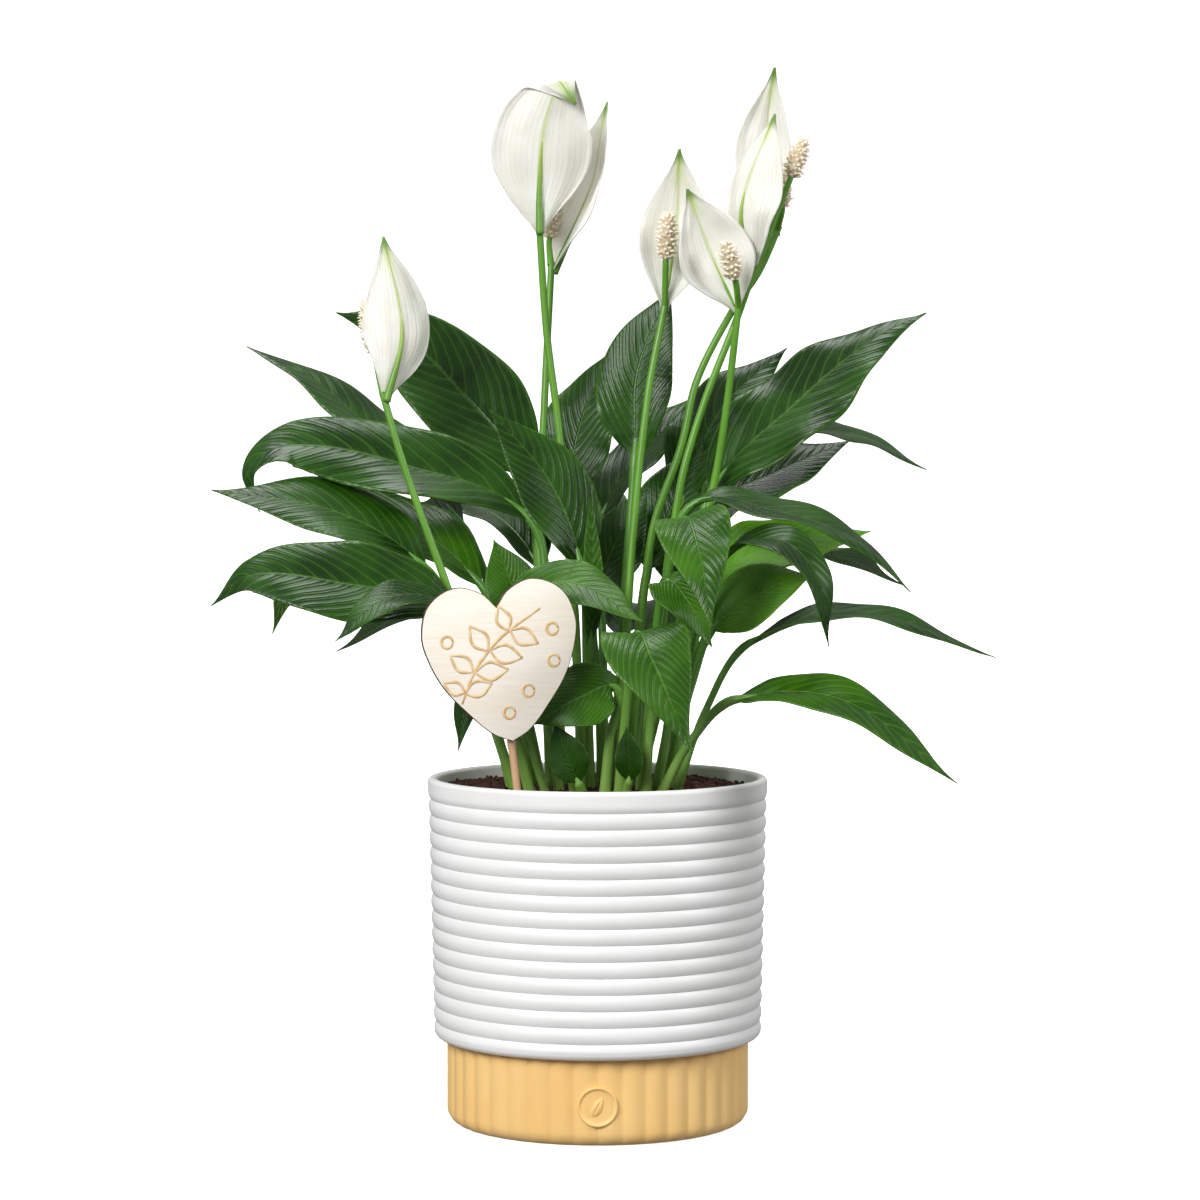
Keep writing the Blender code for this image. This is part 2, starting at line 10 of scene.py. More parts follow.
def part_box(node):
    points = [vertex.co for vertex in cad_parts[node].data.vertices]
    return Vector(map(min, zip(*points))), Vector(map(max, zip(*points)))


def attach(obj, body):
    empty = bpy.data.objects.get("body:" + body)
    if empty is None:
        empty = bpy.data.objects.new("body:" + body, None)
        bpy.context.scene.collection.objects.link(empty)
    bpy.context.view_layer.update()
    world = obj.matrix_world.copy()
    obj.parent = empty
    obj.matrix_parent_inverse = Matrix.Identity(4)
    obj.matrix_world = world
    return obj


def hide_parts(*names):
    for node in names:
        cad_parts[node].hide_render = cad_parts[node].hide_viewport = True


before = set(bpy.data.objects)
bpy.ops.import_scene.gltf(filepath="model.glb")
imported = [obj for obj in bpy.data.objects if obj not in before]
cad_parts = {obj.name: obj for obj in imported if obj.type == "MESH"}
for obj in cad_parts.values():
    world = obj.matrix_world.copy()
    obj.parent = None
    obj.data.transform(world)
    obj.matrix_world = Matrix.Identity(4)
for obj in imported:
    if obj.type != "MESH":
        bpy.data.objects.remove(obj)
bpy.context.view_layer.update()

# ---------------------------------------------------------------------------
# Studio: a camera a metre and a half in front, white paper under and behind the pot, and a
# white room. A large soft lamp stands high on the left, with weaker ones on the right,
# overhead and behind. The rear one only fills the shade: it leaves no glare on the leaves.
MM = 0.001
CAMERA_PLACE = (1 * MM, -1520 * MM, 289 * MM)
CAMERA_TILT = math.radians(90 - 2.495)
CAMERA_LENS = 107.04
PAPER_WIDTH = 9.0
PAPER_FRONT = -4.0
PAPER_BACK = 1.6
PAPER_BEND = 1.4
PAPER_HEIGHT = 4.0
PAPER_STEPS = 12
PAPER_WHITE = (0.93, 0.93, 0.93, 1)
PAPER_GLOW = 0.74
AIR_LOW = 0.22
AIR_HIGH = 0.4
AIR_SEEN = 1.0
AIR_DARKEST_AT = -0.5
AIR_BRIGHTEST_AT = 0.7

scene = bpy.context.scene
scene.view_settings.view_transform = "Standard"
camera_data = bpy.data.cameras.new("camera")
camera_data.lens = CAMERA_LENS
camera = bpy.data.objects.new("camera", camera_data)
camera.location = CAMERA_PLACE
camera.rotation_euler = (CAMERA_TILT, 0, 0)
scene.collection.objects.link(camera)
scene.camera = camera

paper = bmesh.new()
paper_line = [(PAPER_FRONT, 0.0), (PAPER_BACK, 0.0)]
for step in range(1, PAPER_STEPS + 1):
    turn = math.pi / 2 * step / PAPER_STEPS
    paper_line.append((PAPER_BACK + PAPER_BEND * math.sin(turn), PAPER_BEND * (1 - math.cos(turn))))
paper_line.append((PAPER_BACK + PAPER_BEND, PAPER_HEIGHT))
line_verts = [paper.verts.new((-PAPER_WIDTH / 2, y, z)) for y, z in paper_line]
line_edges = [paper.edges.new(pair) for pair in zip(line_verts, line_verts[1:])]
drawn = bmesh.ops.extrude_edge_only(paper, edges=line_edges)
far_side = [item for item in drawn["geom"] if isinstance(item, bmesh.types.BMVert)]
bmesh.ops.translate(paper, verts=far_side, vec=(PAPER_WIDTH, 0, 0))
paper_mesh = bpy.data.meshes.new("paper_sweep")
paper.to_mesh(paper_mesh)
paper.free()
paper_mesh.shade_smooth()
paper_sweep = bpy.data.objects.new("paper_sweep", paper_mesh)
scene.collection.objects.link(paper_sweep)
paper_look = bpy.data.materials.new("white_paper")
paper_look.use_nodes = True
paper_inputs = paper_look.node_tree.nodes["Principled BSDF"].inputs
paper_inputs["Base Color"].default_value = PAPER_WHITE
paper_inputs["Roughness"].default_value = 0.9
paper_inputs["Emission Color"].default_value = (1, 1, 1, 1)
paper_inputs["Emission Strength"].default_value = PAPER_GLOW
paper_mesh.materials.append(paper_look)
paper_sweep.visible_diffuse = False
paper_sweep.visible_glossy = False

world = bpy.data.worlds.new("studio_air")
world.use_nodes = True
air = world.node_tree.nodes
join = world.node_tree.links.new
sky_place = air.new("ShaderNodeTexCoord")
sky_parts = air.new("ShaderNodeSeparateXYZ")
sky_ramp = air.new("ShaderNodeMapRange")
sky_ramp.interpolation_type = "SMOOTHSTEP"
sky_ramp.inputs["From Min"].default_value = AIR_DARKEST_AT
sky_ramp.inputs["From Max"].default_value = AIR_BRIGHTEST_AT
sky_ramp.inputs["To Min"].default_value = AIR_LOW
sky_ramp.inputs["To Max"].default_value = AIR_HIGH
join(sky_place.outputs["Generated"], sky_parts.inputs[0])
join(sky_parts.outputs[2], sky_ramp.inputs["Value"])
air["Background"].inputs["Color"].default_value = (1, 1, 1, 1)
seen = air.new("ShaderNodeLightPath")
seen_or_lit = air.new("ShaderNodeMix")
seen_or_lit.inputs[3].default_value = AIR_SEEN
join(seen.outputs["Is Camera Ray"], seen_or_lit.inputs[0])
join(sky_ramp.outputs[0], seen_or_lit.inputs[2])
join(seen_or_lit.outputs[0], air["Background"].inputs["Strength"])
scene.world = world


def lamp(name, place, aim, size, watts):
    data = bpy.data.lights.new(name, "AREA")
    data.shape = "DISK"
    data.size = size
    data.energy = watts
    made = bpy.data.objects.new(name, data)
    made.location = place
    made.rotation_euler = (Vector(aim) - Vector(place)).to_track_quat("-Z", "Y").to_euler()
    scene.collection.objects.link(made)
    return made


lamp("key_lamp", (-1.05, -1.75, 1.3), (0, 0, 0.2), 1.1, 50)
lamp("side_lamp", (1.6, -0.6, 1.0), (0, 0, 0.2), 0.8, 12)
lamp("top_lamp", (-0.2, 0.4, 1.8), (0, 0, 0.25), 0.9, 16)
rear_lamp = lamp("rear_lamp", (0.6, 1.9, 1.2), (0, 0, 0.2), 1.2, 20)
rear_lamp.visible_glossy = False

# ---------------------------------------------------------------------------
# Fluted base: the lower part of the pot, warm yellow glaze on fired clay. Forty soft upright
# flutes run round it, its lower corner is rounded, and it stands inside the white body.


class Wire:
    """A number on its way through a material, which Python's own operators work on."""

    def __init__(self, finish, socket):
        self.finish = finish
        self.socket = socket

    def worked(self, operation, first, second=0.0):
        return self.finish.node("ShaderNodeMath", {"operation": operation}, {0: first, 1: second})

    def __add__(self, other):
        return self.worked("ADD", self, other)

    def __sub__(self, other):
        return self.worked("SUBTRACT", self, other)

    def __mul__(self, other):
        return self.worked("MULTIPLY", self, other)

    def __pow__(self, other):
        return self.worked("POWER", self, other)

    def __rsub__(self, other):
        return self.worked("SUBTRACT", other, self)

    def __abs__(self):
        return self.worked("ABSOLUTE", self)

    __radd__ = __add__
    __rmul__ = __mul__

    def sine(self):
        return self.worked("SINE", self)

    def angle_to(self, other):
        return self.worked("ARCTAN2", self, other)

    def limited(self, low, high):
        """0 below low, 1 above high, and a smooth step between."""
        limits = {"Value": self, "From Min": low, "From Max": high}
        return self.finish.node("ShaderNodeMapRange", {"interpolation_type": "SMOOTHSTEP"}, limits)


class Finish:
    """A material. Constants go on the shader's sockets, and the rest comes from nodes."""

    def __init__(self, name, **constants):
        self.material = bpy.data.materials.new(name)
        self.material.use_nodes = True
        self.tree = self.material.node_tree
        self.shader = self.tree.nodes["Principled BSDF"]
        for key, value in constants.items():
            self.shader.inputs[key.replace("_", " ")].default_value = value

    def node(self, kind, settings, sockets, output=0):
        made = self.tree.nodes.new(kind)
        for key, value in settings.items():
            setattr(made, key, value)
        for key, value in sockets.items():
            if isinstance(value, Wire):
                self.tree.links.new(value.socket, made.inputs[key])
            else:
                made.inputs[key].default_value = value
        return Wire(self, made.outputs[output])

    def place(self, source, axis):
        spot = self.node("ShaderNodeTexCoord", {}, {}, source)
        return self.node("ShaderNodeSeparateXYZ", {}, {0: spot}, axis)

    def grain(self, scale, detail=3.0, stretch=(1, 1, 1), rough=0.5):
        """Soft noise on the object, finer as the scale goes up, from about 0.3 to 0.7."""
        spot = self.node("ShaderNodeTexCoord", {}, {}, "Object")
        spot = self.node("ShaderNodeMapping", {}, {"Vector": spot, "Scale": stretch})
        sockets = {"Vector": spot, "Scale": scale, "Detail": detail, "Roughness": rough}
        return self.node("ShaderNodeTexNoise", {}, sockets)

    def blend(self, share, first, second):
        """A colour between two, where the share runs from 0 to 1."""
        ends = [(*end, 1) if isinstance(end, tuple) else end for end in (first, second)]
        sockets = {0: share, 6: ends[0], 7: ends[1]}
        return self.node("ShaderNodeMix", {"data_type": "RGBA"}, sockets, 2)

    def bump(self, height, depth):
        sockets = {"Height": height, "Distance": depth, "Strength": 1.0}
        self.feed("Normal", self.node("ShaderNodeBump", {}, sockets))

    def feed(self, socket, wire):
        self.tree.links.new(wire.socket, self.shader.inputs[socket])


def piece(name, bm, finishes, nodes, sharp=None):
    """The finished mesh as an object that rides on the pot and stands for its CAD nodes."""
    mesh = bpy.data.meshes.new(name)
    bm.to_mesh(mesh)
    bm.free()
    mesh.shade_smooth()
    if sharp:
        mesh.set_sharp_from_angle(angle=math.radians(sharp))
    for finish in finishes:
        mesh.materials.append(finish.material)
    made = bpy.data.objects.new(name, mesh)
    scene.collection.objects.link(made)
    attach(made, "root")
    if nodes:
        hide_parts(*nodes)
    return made


def turned(profile, steps):
    """A closed outline of radius and height, spun once round the upright axis."""
    bm = bmesh.new()
    verts = [bm.verts.new((radius * MM, 0, height * MM)) for radius, height in profile]
    closed = profile[0][0] > 0
    pairs = list(zip(verts, verts[1:] + verts[:1])) if closed else list(zip(verts, verts[1:]))
    edges = [bm.edges.new(pair) for pair in pairs]
    bmesh.ops.spin(
        bm, geom=verts + edges, cent=(0, 0, 0), axis=(0, 0, 1), angle=math.tau, steps=steps,
        use_merge=True)
    bmesh.ops.remove_doubles(bm, verts=bm.verts, dist=0.001 * MM)
    bmesh.ops.recalc_face_normals(bm, faces=bm.faces)
    return bm


def rounded(across, softness):
    """A moulding's height from one edge (0) to the other (1), as a share of its full height."""
    return max(0.0, math.sin(math.pi * across)) ** softness


BASE_RADIUS = 64.5
BASE_WALL = 4.5
BASE_CORNER = 6.0
BASE_FLOOR = 4.0
BASE_TOP = 43.7
COLLAR_RADIUS = 63.0
BODY_LOW = 36.5
FLUTES = 40
FLUTE_DEPTH = 1.05
FLUTE_SOFTNESS = 1.15

base_profile = [(0, 0), (BASE_RADIUS - BASE_CORNER - 6, 0)]
for step in range(9):
    turn = math.pi / 2 * step / 8
    base_profile.append((
        BASE_RADIUS - BASE_CORNER + BASE_CORNER * math.sin(turn),
        BASE_CORNER * (1 - math.cos(turn)),
    ))
base_profile += [(BASE_RADIUS, BASE_CORNER + step * 3.0) for step in range(1, 10)]
base_profile += [
    (BASE_RADIUS, BODY_LOW - 0.6),
    (COLLAR_RADIUS, BODY_LOW + 0.4),
    (COLLAR_RADIUS, BASE_TOP),
    (BASE_RADIUS - BASE_WALL, BASE_TOP),
    (BASE_RADIUS - BASE_WALL, BASE_FLOOR),
    (0, BASE_FLOOR),
]
base = turned(base_profile, FLUTES * 12)
for vert in base.verts:
    radius = math.hypot(vert.co.x, vert.co.y) / MM
    around = (math.atan2(vert.co.y, vert.co.x) / math.tau * FLUTES) % 1.0
    outside = min(1.0, max(0.0, (radius - COLLAR_RADIUS) / (BASE_RADIUS - COLLAR_RADIUS)))
    if vert.co.z < BASE_CORNER * MM:
        outside = max(outside, min(1.0, (radius - BASE_RADIUS + BASE_CORNER) / BASE_CORNER))
    if outside > 0 and vert.co.z < BODY_LOW * MM:
        vert.co.xy *= 1 - FLUTE_DEPTH * outside * (1 - rounded(around, FLUTE_SOFTNESS)) / radius

yellow = Finish("yellow_glaze", Roughness=0.5, Coat_Weight=0.12, Coat_Roughness=0.35)
flute = (yellow.place("Object", "Y").angle_to(yellow.place("Object", "X")) * (FLUTES / 2)).sine()
# Painted shade: each flute's valley is darkened towards deep orange, where shade falls between the
# flutes.
painted_valley_shade = (1 - abs(flute)) ** 6
cloud = yellow.grain(28, 4)
glaze = yellow.blend(cloud.limited(0.3, 0.75), (0.92, 0.575, 0.205), (0.94, 0.625, 0.245))
# Painted shadow: the top of the base, just under the white body's overhanging lower edge, is
# darkened towards deep orange.
painted_shadow_under_body = yellow.place("Object", "Z").limited(0.030, 0.037) * 0.75
# The deep orange blended in here is painted shade in the flute valleys and painted shadow under the
# body.
glaze = yellow.blend(painted_valley_shade * 0.2 + painted_shadow_under_body * 0.5, glaze, (0.74, 0.37, 0.12))
yellow.feed("Base Color", glaze)
yellow.feed("Roughness", cloud * 0.14 + 0.42)
yellow.bump(yellow.grain(420, 2) + cloud * 2, 0.06 * MM)
piece("fluted_base", base, [yellow], ["pot_base"], sharp=50)

# Roundel: a coin of the same clay pressed on the front of the base, with a raised rim and one
# plain leaf in the middle.
ROUNDEL_RADIUS = 8.5
ROUNDEL_HEIGHT = 17.0
ROUNDEL_SINK = 0.35
EMBLEM_LENGTH = 4.6
EMBLEM_WIDTH = 2.2
EMBLEM_TURN = math.radians(-28)


def on_base(bm, verts):
    """Wraps flat work on to the base's front. Its X and Y are width and height, Z is relief."""
    for vert in verts:
        turn = vert.co.x / (BASE_RADIUS * MM)
        reach = (BASE_RADIUS - ROUNDEL_SINK) * MM + vert.co.z
        vert.co = (reach * math.sin(turn), -reach * math.cos(turn), ROUNDEL_HEIGHT * MM + vert.co.y)


roundel = turned([
    (0, -1.5), (ROUNDEL_RADIUS, -1.5), (ROUNDEL_RADIUS, 0.5), (ROUNDEL_RADIUS - 0.25, 1.0),
    (ROUNDEL_RADIUS - 0.7, 1.2), (ROUNDEL_RADIUS - 1.15, 1.0), (ROUNDEL_RADIUS - 1.45, 0.4),
    (ROUNDEL_RADIUS - 1.8, 0.3), (5.2, 0.3), (3.5, 0.3), (1.7, 0.3), (0, 0.3),
], 96)
on_base(roundel, roundel.verts)
piece("base_roundel", roundel, [yellow], [], sharp=70)

emblem = bmesh.new()
bmesh.ops.create_uvsphere(emblem, u_segments=32, v_segments=16, radius=1.0)
for vert in emblem.verts:
    along = vert.co.y
    width = (1 - along * along) ** 0.3 * (1 - 0.25 * along)
    groove = 0.45 * math.exp(-(vert.co.x / 0.1) ** 2)
    vert.co = Vector((
        vert.co.x * EMBLEM_WIDTH * width,
        along * EMBLEM_LENGTH,
        0.3 + vert.co.z - (groove if vert.co.z > 0 else 0),
    )) * MM
bmesh.ops.rotate(
    emblem, verts=emblem.verts, cent=(0, 0, 0), matrix=Matrix.Rotation(EMBLEM_TURN, 3, "Z"))
on_base(emblem, emblem.verts)
piece("roundel_leaf", emblem, [yellow], [])

# ---------------------------------------------------------------------------
# Ribbed body: the upper part of the pot, satin white glaze on fired clay. A plain band under
# a rounded lip, then fifteen convex ribs with tight grooves between, and a lower edge that
# rounds under and stands out past the base.
RIM_RADIUS = 72.5
BODY_TAPER = 2.5
BODY_TOP = 147.5
BODY_WALL = 3.0
RIB_DEPTH = 1.15
RIB_SOFTNESS = 0.72
RIM_BAND = 9.0
LIP_ROUND = 1.7
LOWER_CORNER = 3.2
SOCKET_RADIUS = 65.2
SOCKET_TOP = 44.2
LEDGE_RADIUS = 60.2
RIBS = 15
RIB_PITCH = (BODY_TOP - RIM_BAND - BODY_LOW) / RIBS


def body_radius(height):
    return RIM_RADIUS - BODY_TAPER * (BODY_TOP - height) / (BODY_TOP - BODY_LOW)


inner_top = RIM_RADIUS - RIB_DEPTH - BODY_WALL
body_profile = []
for step in range(13):
    turn = math.pi * step / 12
    body_profile.append((
        (RIM_RADIUS + inner_top) / 2 - math.cos(turn) * (RIM_RADIUS - inner_top) / 2,
        BODY_TOP - LIP_ROUND + LIP_ROUND * math.sin(turn),
    ))
body_profile += [(RIM_RADIUS, BODY_TOP - depth) for depth in (3.2, 4.8, 6.0)]
for step in range(1, 6):
    share = step / 5
    body_profile.append((
        RIM_RADIUS - RIB_DEPTH * (1 - rounded(0.5 + share / 2, RIB_SOFTNESS)),
        BODY_TOP - 6.0 - (RIM_BAND - 6.0) * share,
    ))
for rib in range(RIBS):
    top = BODY_TOP - RIM_BAND - RIB_PITCH * rib
    for step in range(1, 13):
        share = (1 - math.cos(math.pi * step / 12)) / 2
        height = top - RIB_PITCH * share
        if rib == RIBS - 1 and share > 0.55:
            break
        radius = body_radius(height) - RIB_DEPTH * (1 - rounded(share, RIB_SOFTNESS))
        body_profile.append((radius, height))
for step in range(9):
    turn = math.pi / 2 * step / 8
    body_profile.append((
        body_radius(BODY_LOW) - LOWER_CORNER + LOWER_CORNER * math.cos(turn),
        BODY_LOW + LOWER_CORNER - LOWER_CORNER * math.sin(turn),
    ))
# Its inside: the socket over the base's collar, the ledge that rests on it, and the wall.
body_profile += [
    (SOCKET_RADIUS + 0.1, BODY_LOW), (SOCKET_RADIUS, BODY_LOW + 0.3), (SOCKET_RADIUS, SOCKET_TOP),
    (LEDGE_RADIUS, SOCKET_TOP), (LEDGE_RADIUS, SOCKET_TOP + 3.0),
    (66.0, 50.3), (67.2, 100.0), (inner_top - 0.1, 138.0),
]
white = Finish("white_glaze", Roughness=0.4, Coat_Weight=0.1, Coat_Roughness=0.25)
first_rib = (BODY_TOP - RIM_BAND) * MM
ribbed = (white.place("Object", "Z") - first_rib) * (math.pi / RIB_PITCH / MM)
# Painted shade: the white glaze is greyed in the grooves between the ribs, where shade falls.
groove = (1 - abs(ribbed.sine())) ** 5
shade = white.grain(22, 4)
clay = white.blend(shade.limited(0.35, 0.7), (0.82, 0.82, 0.81), (0.865, 0.865, 0.86))
# The grey blended in along the grooves is painted shade.
white.feed("Base Color", white.blend(groove * 0.25, clay, (0.74, 0.73, 0.71)))
white.feed("Roughness", shade * 0.16 + 0.36)
white.bump(white.grain(500, 2) + shade * 3, 0.05 * MM)
piece("ribbed_body", turned(body_profile, 200), [white], ["pot_body"], sharp=50)

# ---------------------------------------------------------------------------
# Potting soil: moist dark peat, filled in round the roots by hand up to just under the lip.
# Its top is crumbly, with clods and loose crumbs.
SOIL_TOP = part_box("potting_soil")[1].z / MM
SOIL_RADIUS = 68.1
SOIL_SKIRT = 30.0
CRUMBS = 1400

dice = random.Random(7)
soil = bmesh.new()
ground = bmesh.ops.create_grid(soil, x_segments=150, y_segments=150, size=1.0)["verts"]
soil_rim = [edge for edge in soil.edges if edge.is_boundary]
skirt = bmesh.ops.extrude_edge_only(soil, edges=soil_rim)
hem = [item for item in skirt["geom"] if isinstance(item, bmesh.types.BMVert)]
hem_edges = [item for item in skirt["geom"] if isinstance(item, bmesh.types.BMEdge)]


def disc_spot(x, y):
    """A square's point moved to where it lies on a disc."""
    return x * math.sqrt(1 - y * y / 2), y * math.sqrt(1 - x * x / 2)


def soil_height(x, y):
    """Clods and small crumbs, in millimetres above or below the soil's level."""
    clods = noise.noise(Vector((x * 0.11, y * 0.11, 3.0))) * 1.3
    crumbs = noise.noise(Vector((x * 0.55, y * 0.55, 9.0))) * 0.8
    bits = noise.noise(Vector((x * 1.5, y * 1.5, 5.0))) * 0.35
    mound = 1.4 * math.exp(-(x * x + y * y) / 1500)
    return clods + crumbs + bits + mound - 0.8


for vert in soil.verts:
    x, y = disc_spot(vert.co.x, vert.co.y)
    vert.co = (x * SOIL_RADIUS * MM, y * SOIL_RADIUS * MM, 0)
for vert in ground:
    vert.co.z = (SOIL_TOP + soil_height(vert.co.x / MM, vert.co.y / MM)) * MM
for vert in hem:
    vert.co.z = (SOIL_TOP - SOIL_SKIRT) * MM
bmesh.ops.contextual_create(soil, geom=[edge for edge in hem_edges if edge.is_boundary])
bmesh.ops.recalc_face_normals(soil, faces=soil.faces)

earth = Finish("peat", Roughness=0.9, Specular_IOR_Level=0.15)
clump = earth.grain(160, 5, rough=0.65)
fleck = earth.grain(900, 2)
peat = earth.blend(clump.limited(0.35, 0.7), (0.024, 0.009, 0.006), (0.092, 0.036, 0.024))
earth.feed("Base Color", earth.blend(fleck.limited(0.62, 0.8), peat, (0.17, 0.09, 0.055)))
earth.feed("Roughness", clump * 0.3 + 0.65)
earth.bump(clump * 2 + fleck, 0.5 * MM)
piece("soil_surface", soil, [earth], ["potting_soil"])

crumbs = bmesh.new()
for _ in range(CRUMBS):
    reach = SOIL_RADIUS * math.sqrt(dice.random()) * 0.97
    turn = dice.uniform(0, math.tau)
    x, y = reach * math.cos(turn), reach * math.sin(turn)
    size = 0.3 + 0.85 * dice.random() ** 3
    spot = Vector((x, y, SOIL_TOP + soil_height(x, y) + size * 0.35)) * MM
    roll = dice.uniform(0, math.tau)
    axle = (dice.random() + 0.1, dice.random(), dice.random())
    long, wide, flat = dice.uniform(0.7, 1.4), dice.uniform(0.7, 1.2), dice.uniform(0.5, 0.9)
    seat = Matrix.Translation(spot) @ Matrix.Rotation(roll, 4, axle)
    seat = seat @ Matrix.Diagonal((long, wide, flat, 1))
    bmesh.ops.create_icosphere(crumbs, subdivisions=1, radius=size * MM, matrix=seat)
piece("soil_crumbs", crumbs, [earth], [], sharp=30)

# ---------------------------------------------------------------------------
# Heart sign: laser-cut birch plywood, three plies thick, pale on its faces, scorched brown on
# its cut edge, with a sprig burnt into its front. It leans and is turned a little to the right.
HEART_THICKNESS = 3.0
HEART_HALF = [
    (0, 0), (8, 4.2), (17.5, 14.3), (25.2, 24.5), (30.3, 36), (32.2, 47.5), (27.8, 59.8),
    (16.3, 65.7), (5.8, 62.3), (0, 55.8),
]
HEART_LEAN = math.radians(7.0)
HEART_TURN = math.radians(10.0)
HEART_SET = Matrix.Rotation(-HEART_LEAN, 4, "Y") @ Matrix.Rotation(HEART_TURN, 4, "Z")
HEART_POINT = Vector((-35.0, -56.0, SOIL_TOP + 24.0))
HEART_BEVEL = 0.34


class Route:
    """A smooth line through points, measured along its length."""

    def __init__(self, points, fineness=20):
        points = [Vector(point) for point in points]
        ends = [points[0] * 2 - points[1]] + points + [points[-1] * 2 - points[-2]]
        self.spots = [points[0]]
        self.marks = [0]
        for before, here, there, after in zip(ends, ends[1:], ends[2:], ends[3:]):
            span = (there - here).length
            leave = (there - before).normalized() * span / 3
            arrive = (after - here).normalized() * span / 3
            arc = interpolate_bezier(here, here + leave, there - arrive, there, fineness)
            self.spots += arc[1:]
            self.marks.append(len(self.spots) - 1)
        self.lengths = [0.0]
        for first, second in zip(self.spots, self.spots[1:]):
            self.lengths.append(self.lengths[-1] + (second - first).length)
        self.total = self.lengths[-1]

    def length_to(self, point_index):
        return self.lengths[self.marks[point_index]]

    def at(self, length):
        """The position and the direction at this length."""
        low, high = 1, len(self.spots) - 1
        while low < high:
            middle = (low + high) // 2
            if self.lengths[middle] < length:
                low = middle + 1
            else:
                high = middle
        share = (length - self.lengths[low - 1]) / (self.lengths[low] - self.lengths[low - 1])
        here = self.spots[low - 1].lerp(self.spots[low], share)
        back = self.spots[max(low - 2, 0)]
        ahead = self.spots[min(low + 1, len(self.spots) - 1)]
        return here, (ahead - back).normalized()


heart_frame = Matrix.Scale(MM, 4) @ Matrix.Translation(HEART_POINT) @ HEART_SET
heart = bmesh.new()
heart_side = Route([Vector((x, HEART_THICKNESS / 2, z)) for x, z in HEART_HALF], 12)
right_side = [heart_side.at(heart_side.total * step / 72)[0] for step in range(73)]
left_side = [Vector((-spot.x, spot.y, spot.z)) for spot in reversed(right_side[1:-1])]
outline = [heart.verts.new(spot) for spot in right_side + left_side]
sheet = heart.faces.new(outline)
front = bmesh.ops.extrude_face_region(heart, geom=[sheet])
front_verts = [item for item in front["geom"] if isinstance(item, bmesh.types.BMVert)]
bmesh.ops.translate(heart, verts=front_verts, vec=(0, -HEART_THICKNESS, 0))
bmesh.ops.recalc_face_normals(heart, faces=heart.faces)
rim_edges = [
    edge for edge in heart.edges if abs(edge.verts[0].co.y - edge.verts[1].co.y) < 0.01]
bmesh.ops.bevel(
    heart, geom=rim_edges, offset=HEART_BEVEL, offset_type="OFFSET", segments=2, profile=0.5,
    affect="EDGES", material=-1, clamp_overlap=True)
heart.normal_update()
for face in heart.faces:
    face.material_index = 0 if abs(face.normal.y) > 0.98 else 1
bmesh.ops.transform(heart, matrix=heart_frame, verts=heart.verts)

birch = Finish("birch_ply", Roughness=0.62)
fibre = birch.grain(70, 4, stretch=(1.0, 1.0, 14.0), rough=0.6)
figure = birch.grain(16, 3, stretch=(1.0, 1.0, 5.0))
pale = birch.blend(fibre.limited(0.3, 0.7), (0.86, 0.77, 0.63), (0.91, 0.85, 0.75))
birch.feed("Base Color", birch.blend(figure.limited(0.35, 0.7) * 0.5, pale, (0.93, 0.89, 0.82)))
birch.feed("Roughness", fibre * 0.2 + 0.5)
birch.bump(fibre, 0.08 * MM)

scorch = Finish("scorched_edge", Roughness=0.8)
soot = scorch.grain(260, 4)
char = scorch.blend(soot.limited(0.35, 0.7), (0.028, 0.014, 0.008), (0.13, 0.07, 0.035))
scorch.feed("Base Color", char)
scorch.bump(soot, 0.1 * MM)
piece("heart_plate", heart, [birch, scorch], ["heart_sign"], sharp=40)


def tube(bm, route, rings, sides, section_of, material_index=0):
    """A closed tube along a route. At a share of its length section_of gives the way its back
    faces, its half width, its half depth and how far it sinks below the route."""
    layer = bm.loops.layers.uv.verify()
    standing = len(bm.verts)
    made = bmesh.ops.create_cone(
        bm, cap_ends=True, segments=sides, radius1=1.0, radius2=1.0, depth=1.0)["verts"]
    edges = dict.fromkeys(edge for vert in made for edge in vert.link_edges)
    uprights = [edge for edge in edges if abs(edge.verts[0].co.z - edge.verts[1].co.z) > 0.5]
    bmesh.ops.subdivide_edges(bm, edges=uprights, cuts=rings - 1)
    verts = list(bm.verts)[standing:]
    for face in {face for vert in verts for face in vert.link_faces}:
        face.material_index = material_index
        for loop in face.loops:
            loop[layer].uv = (0.5, loop.vert.co.z + 0.5)
    for vert in verts:
        share = min(1.0, max(0.0, vert.co.z + 0.5))
        here, along = route.at(share * route.total)
        up, wide, deep, sink = section_of(share)
        up = (up - along * up.dot(along)).normalized()
        flat = Vector((vert.co.x, vert.co.y)).normalized()
        vert.co = here + up.cross(along) * (flat.x * wide) + up * (flat.y * deep - sink)
    return verts


# Sprig on the sign: a curved stem with paired leaves and five rings. A laser has burnt its
# thin tan lines into the wood.
BURN_WIDTH = 0.8
BURN_RISE = 0.07
RING_RADIUS = 2.4
sprig_lines = [[(-19, 18), (-12, 31), (0, 43), (18, 53)]]
for x, z, turn, size in [
        (-17, 22.5, 150, 10), (-17.2, 22, 15, 12), (-12.6, 30.5, 138, 12), (-12.2, 30.2, -2, 14),
        (-5.6, 38.2, 120, 13), (-5, 38.4, -20, 14), (3.6, 45.4, 104, 11), (4.4, 45.6, -32, 13)]:
    heading = math.radians(turn)
    tip = Vector((math.cos(heading), math.sin(heading))) * size
    bulge = Vector((-tip.y, tip.x)) * 0.27
    start = Vector((x, z))
    for way in (1, -1):
        sprig_lines.append([start, start + tip * 0.45 + bulge * way, start + tip])
for x, z in [(-22, 44), (21, 31), (22, 44), (0, 12), (9, 20)]:
    turns = [math.tau * step / 8 for step in range(9)]
    sprig_lines.append([
        (x + RING_RADIUS * math.cos(turn), z + RING_RADIUS * math.sin(turn)) for turn in turns])
sprig = bmesh.new()


def burn_section(share):
    return Vector((0, -1, 0)), BURN_WIDTH * (0.6 + 0.4 * math.sin(math.pi * share)), BURN_RISE, 0


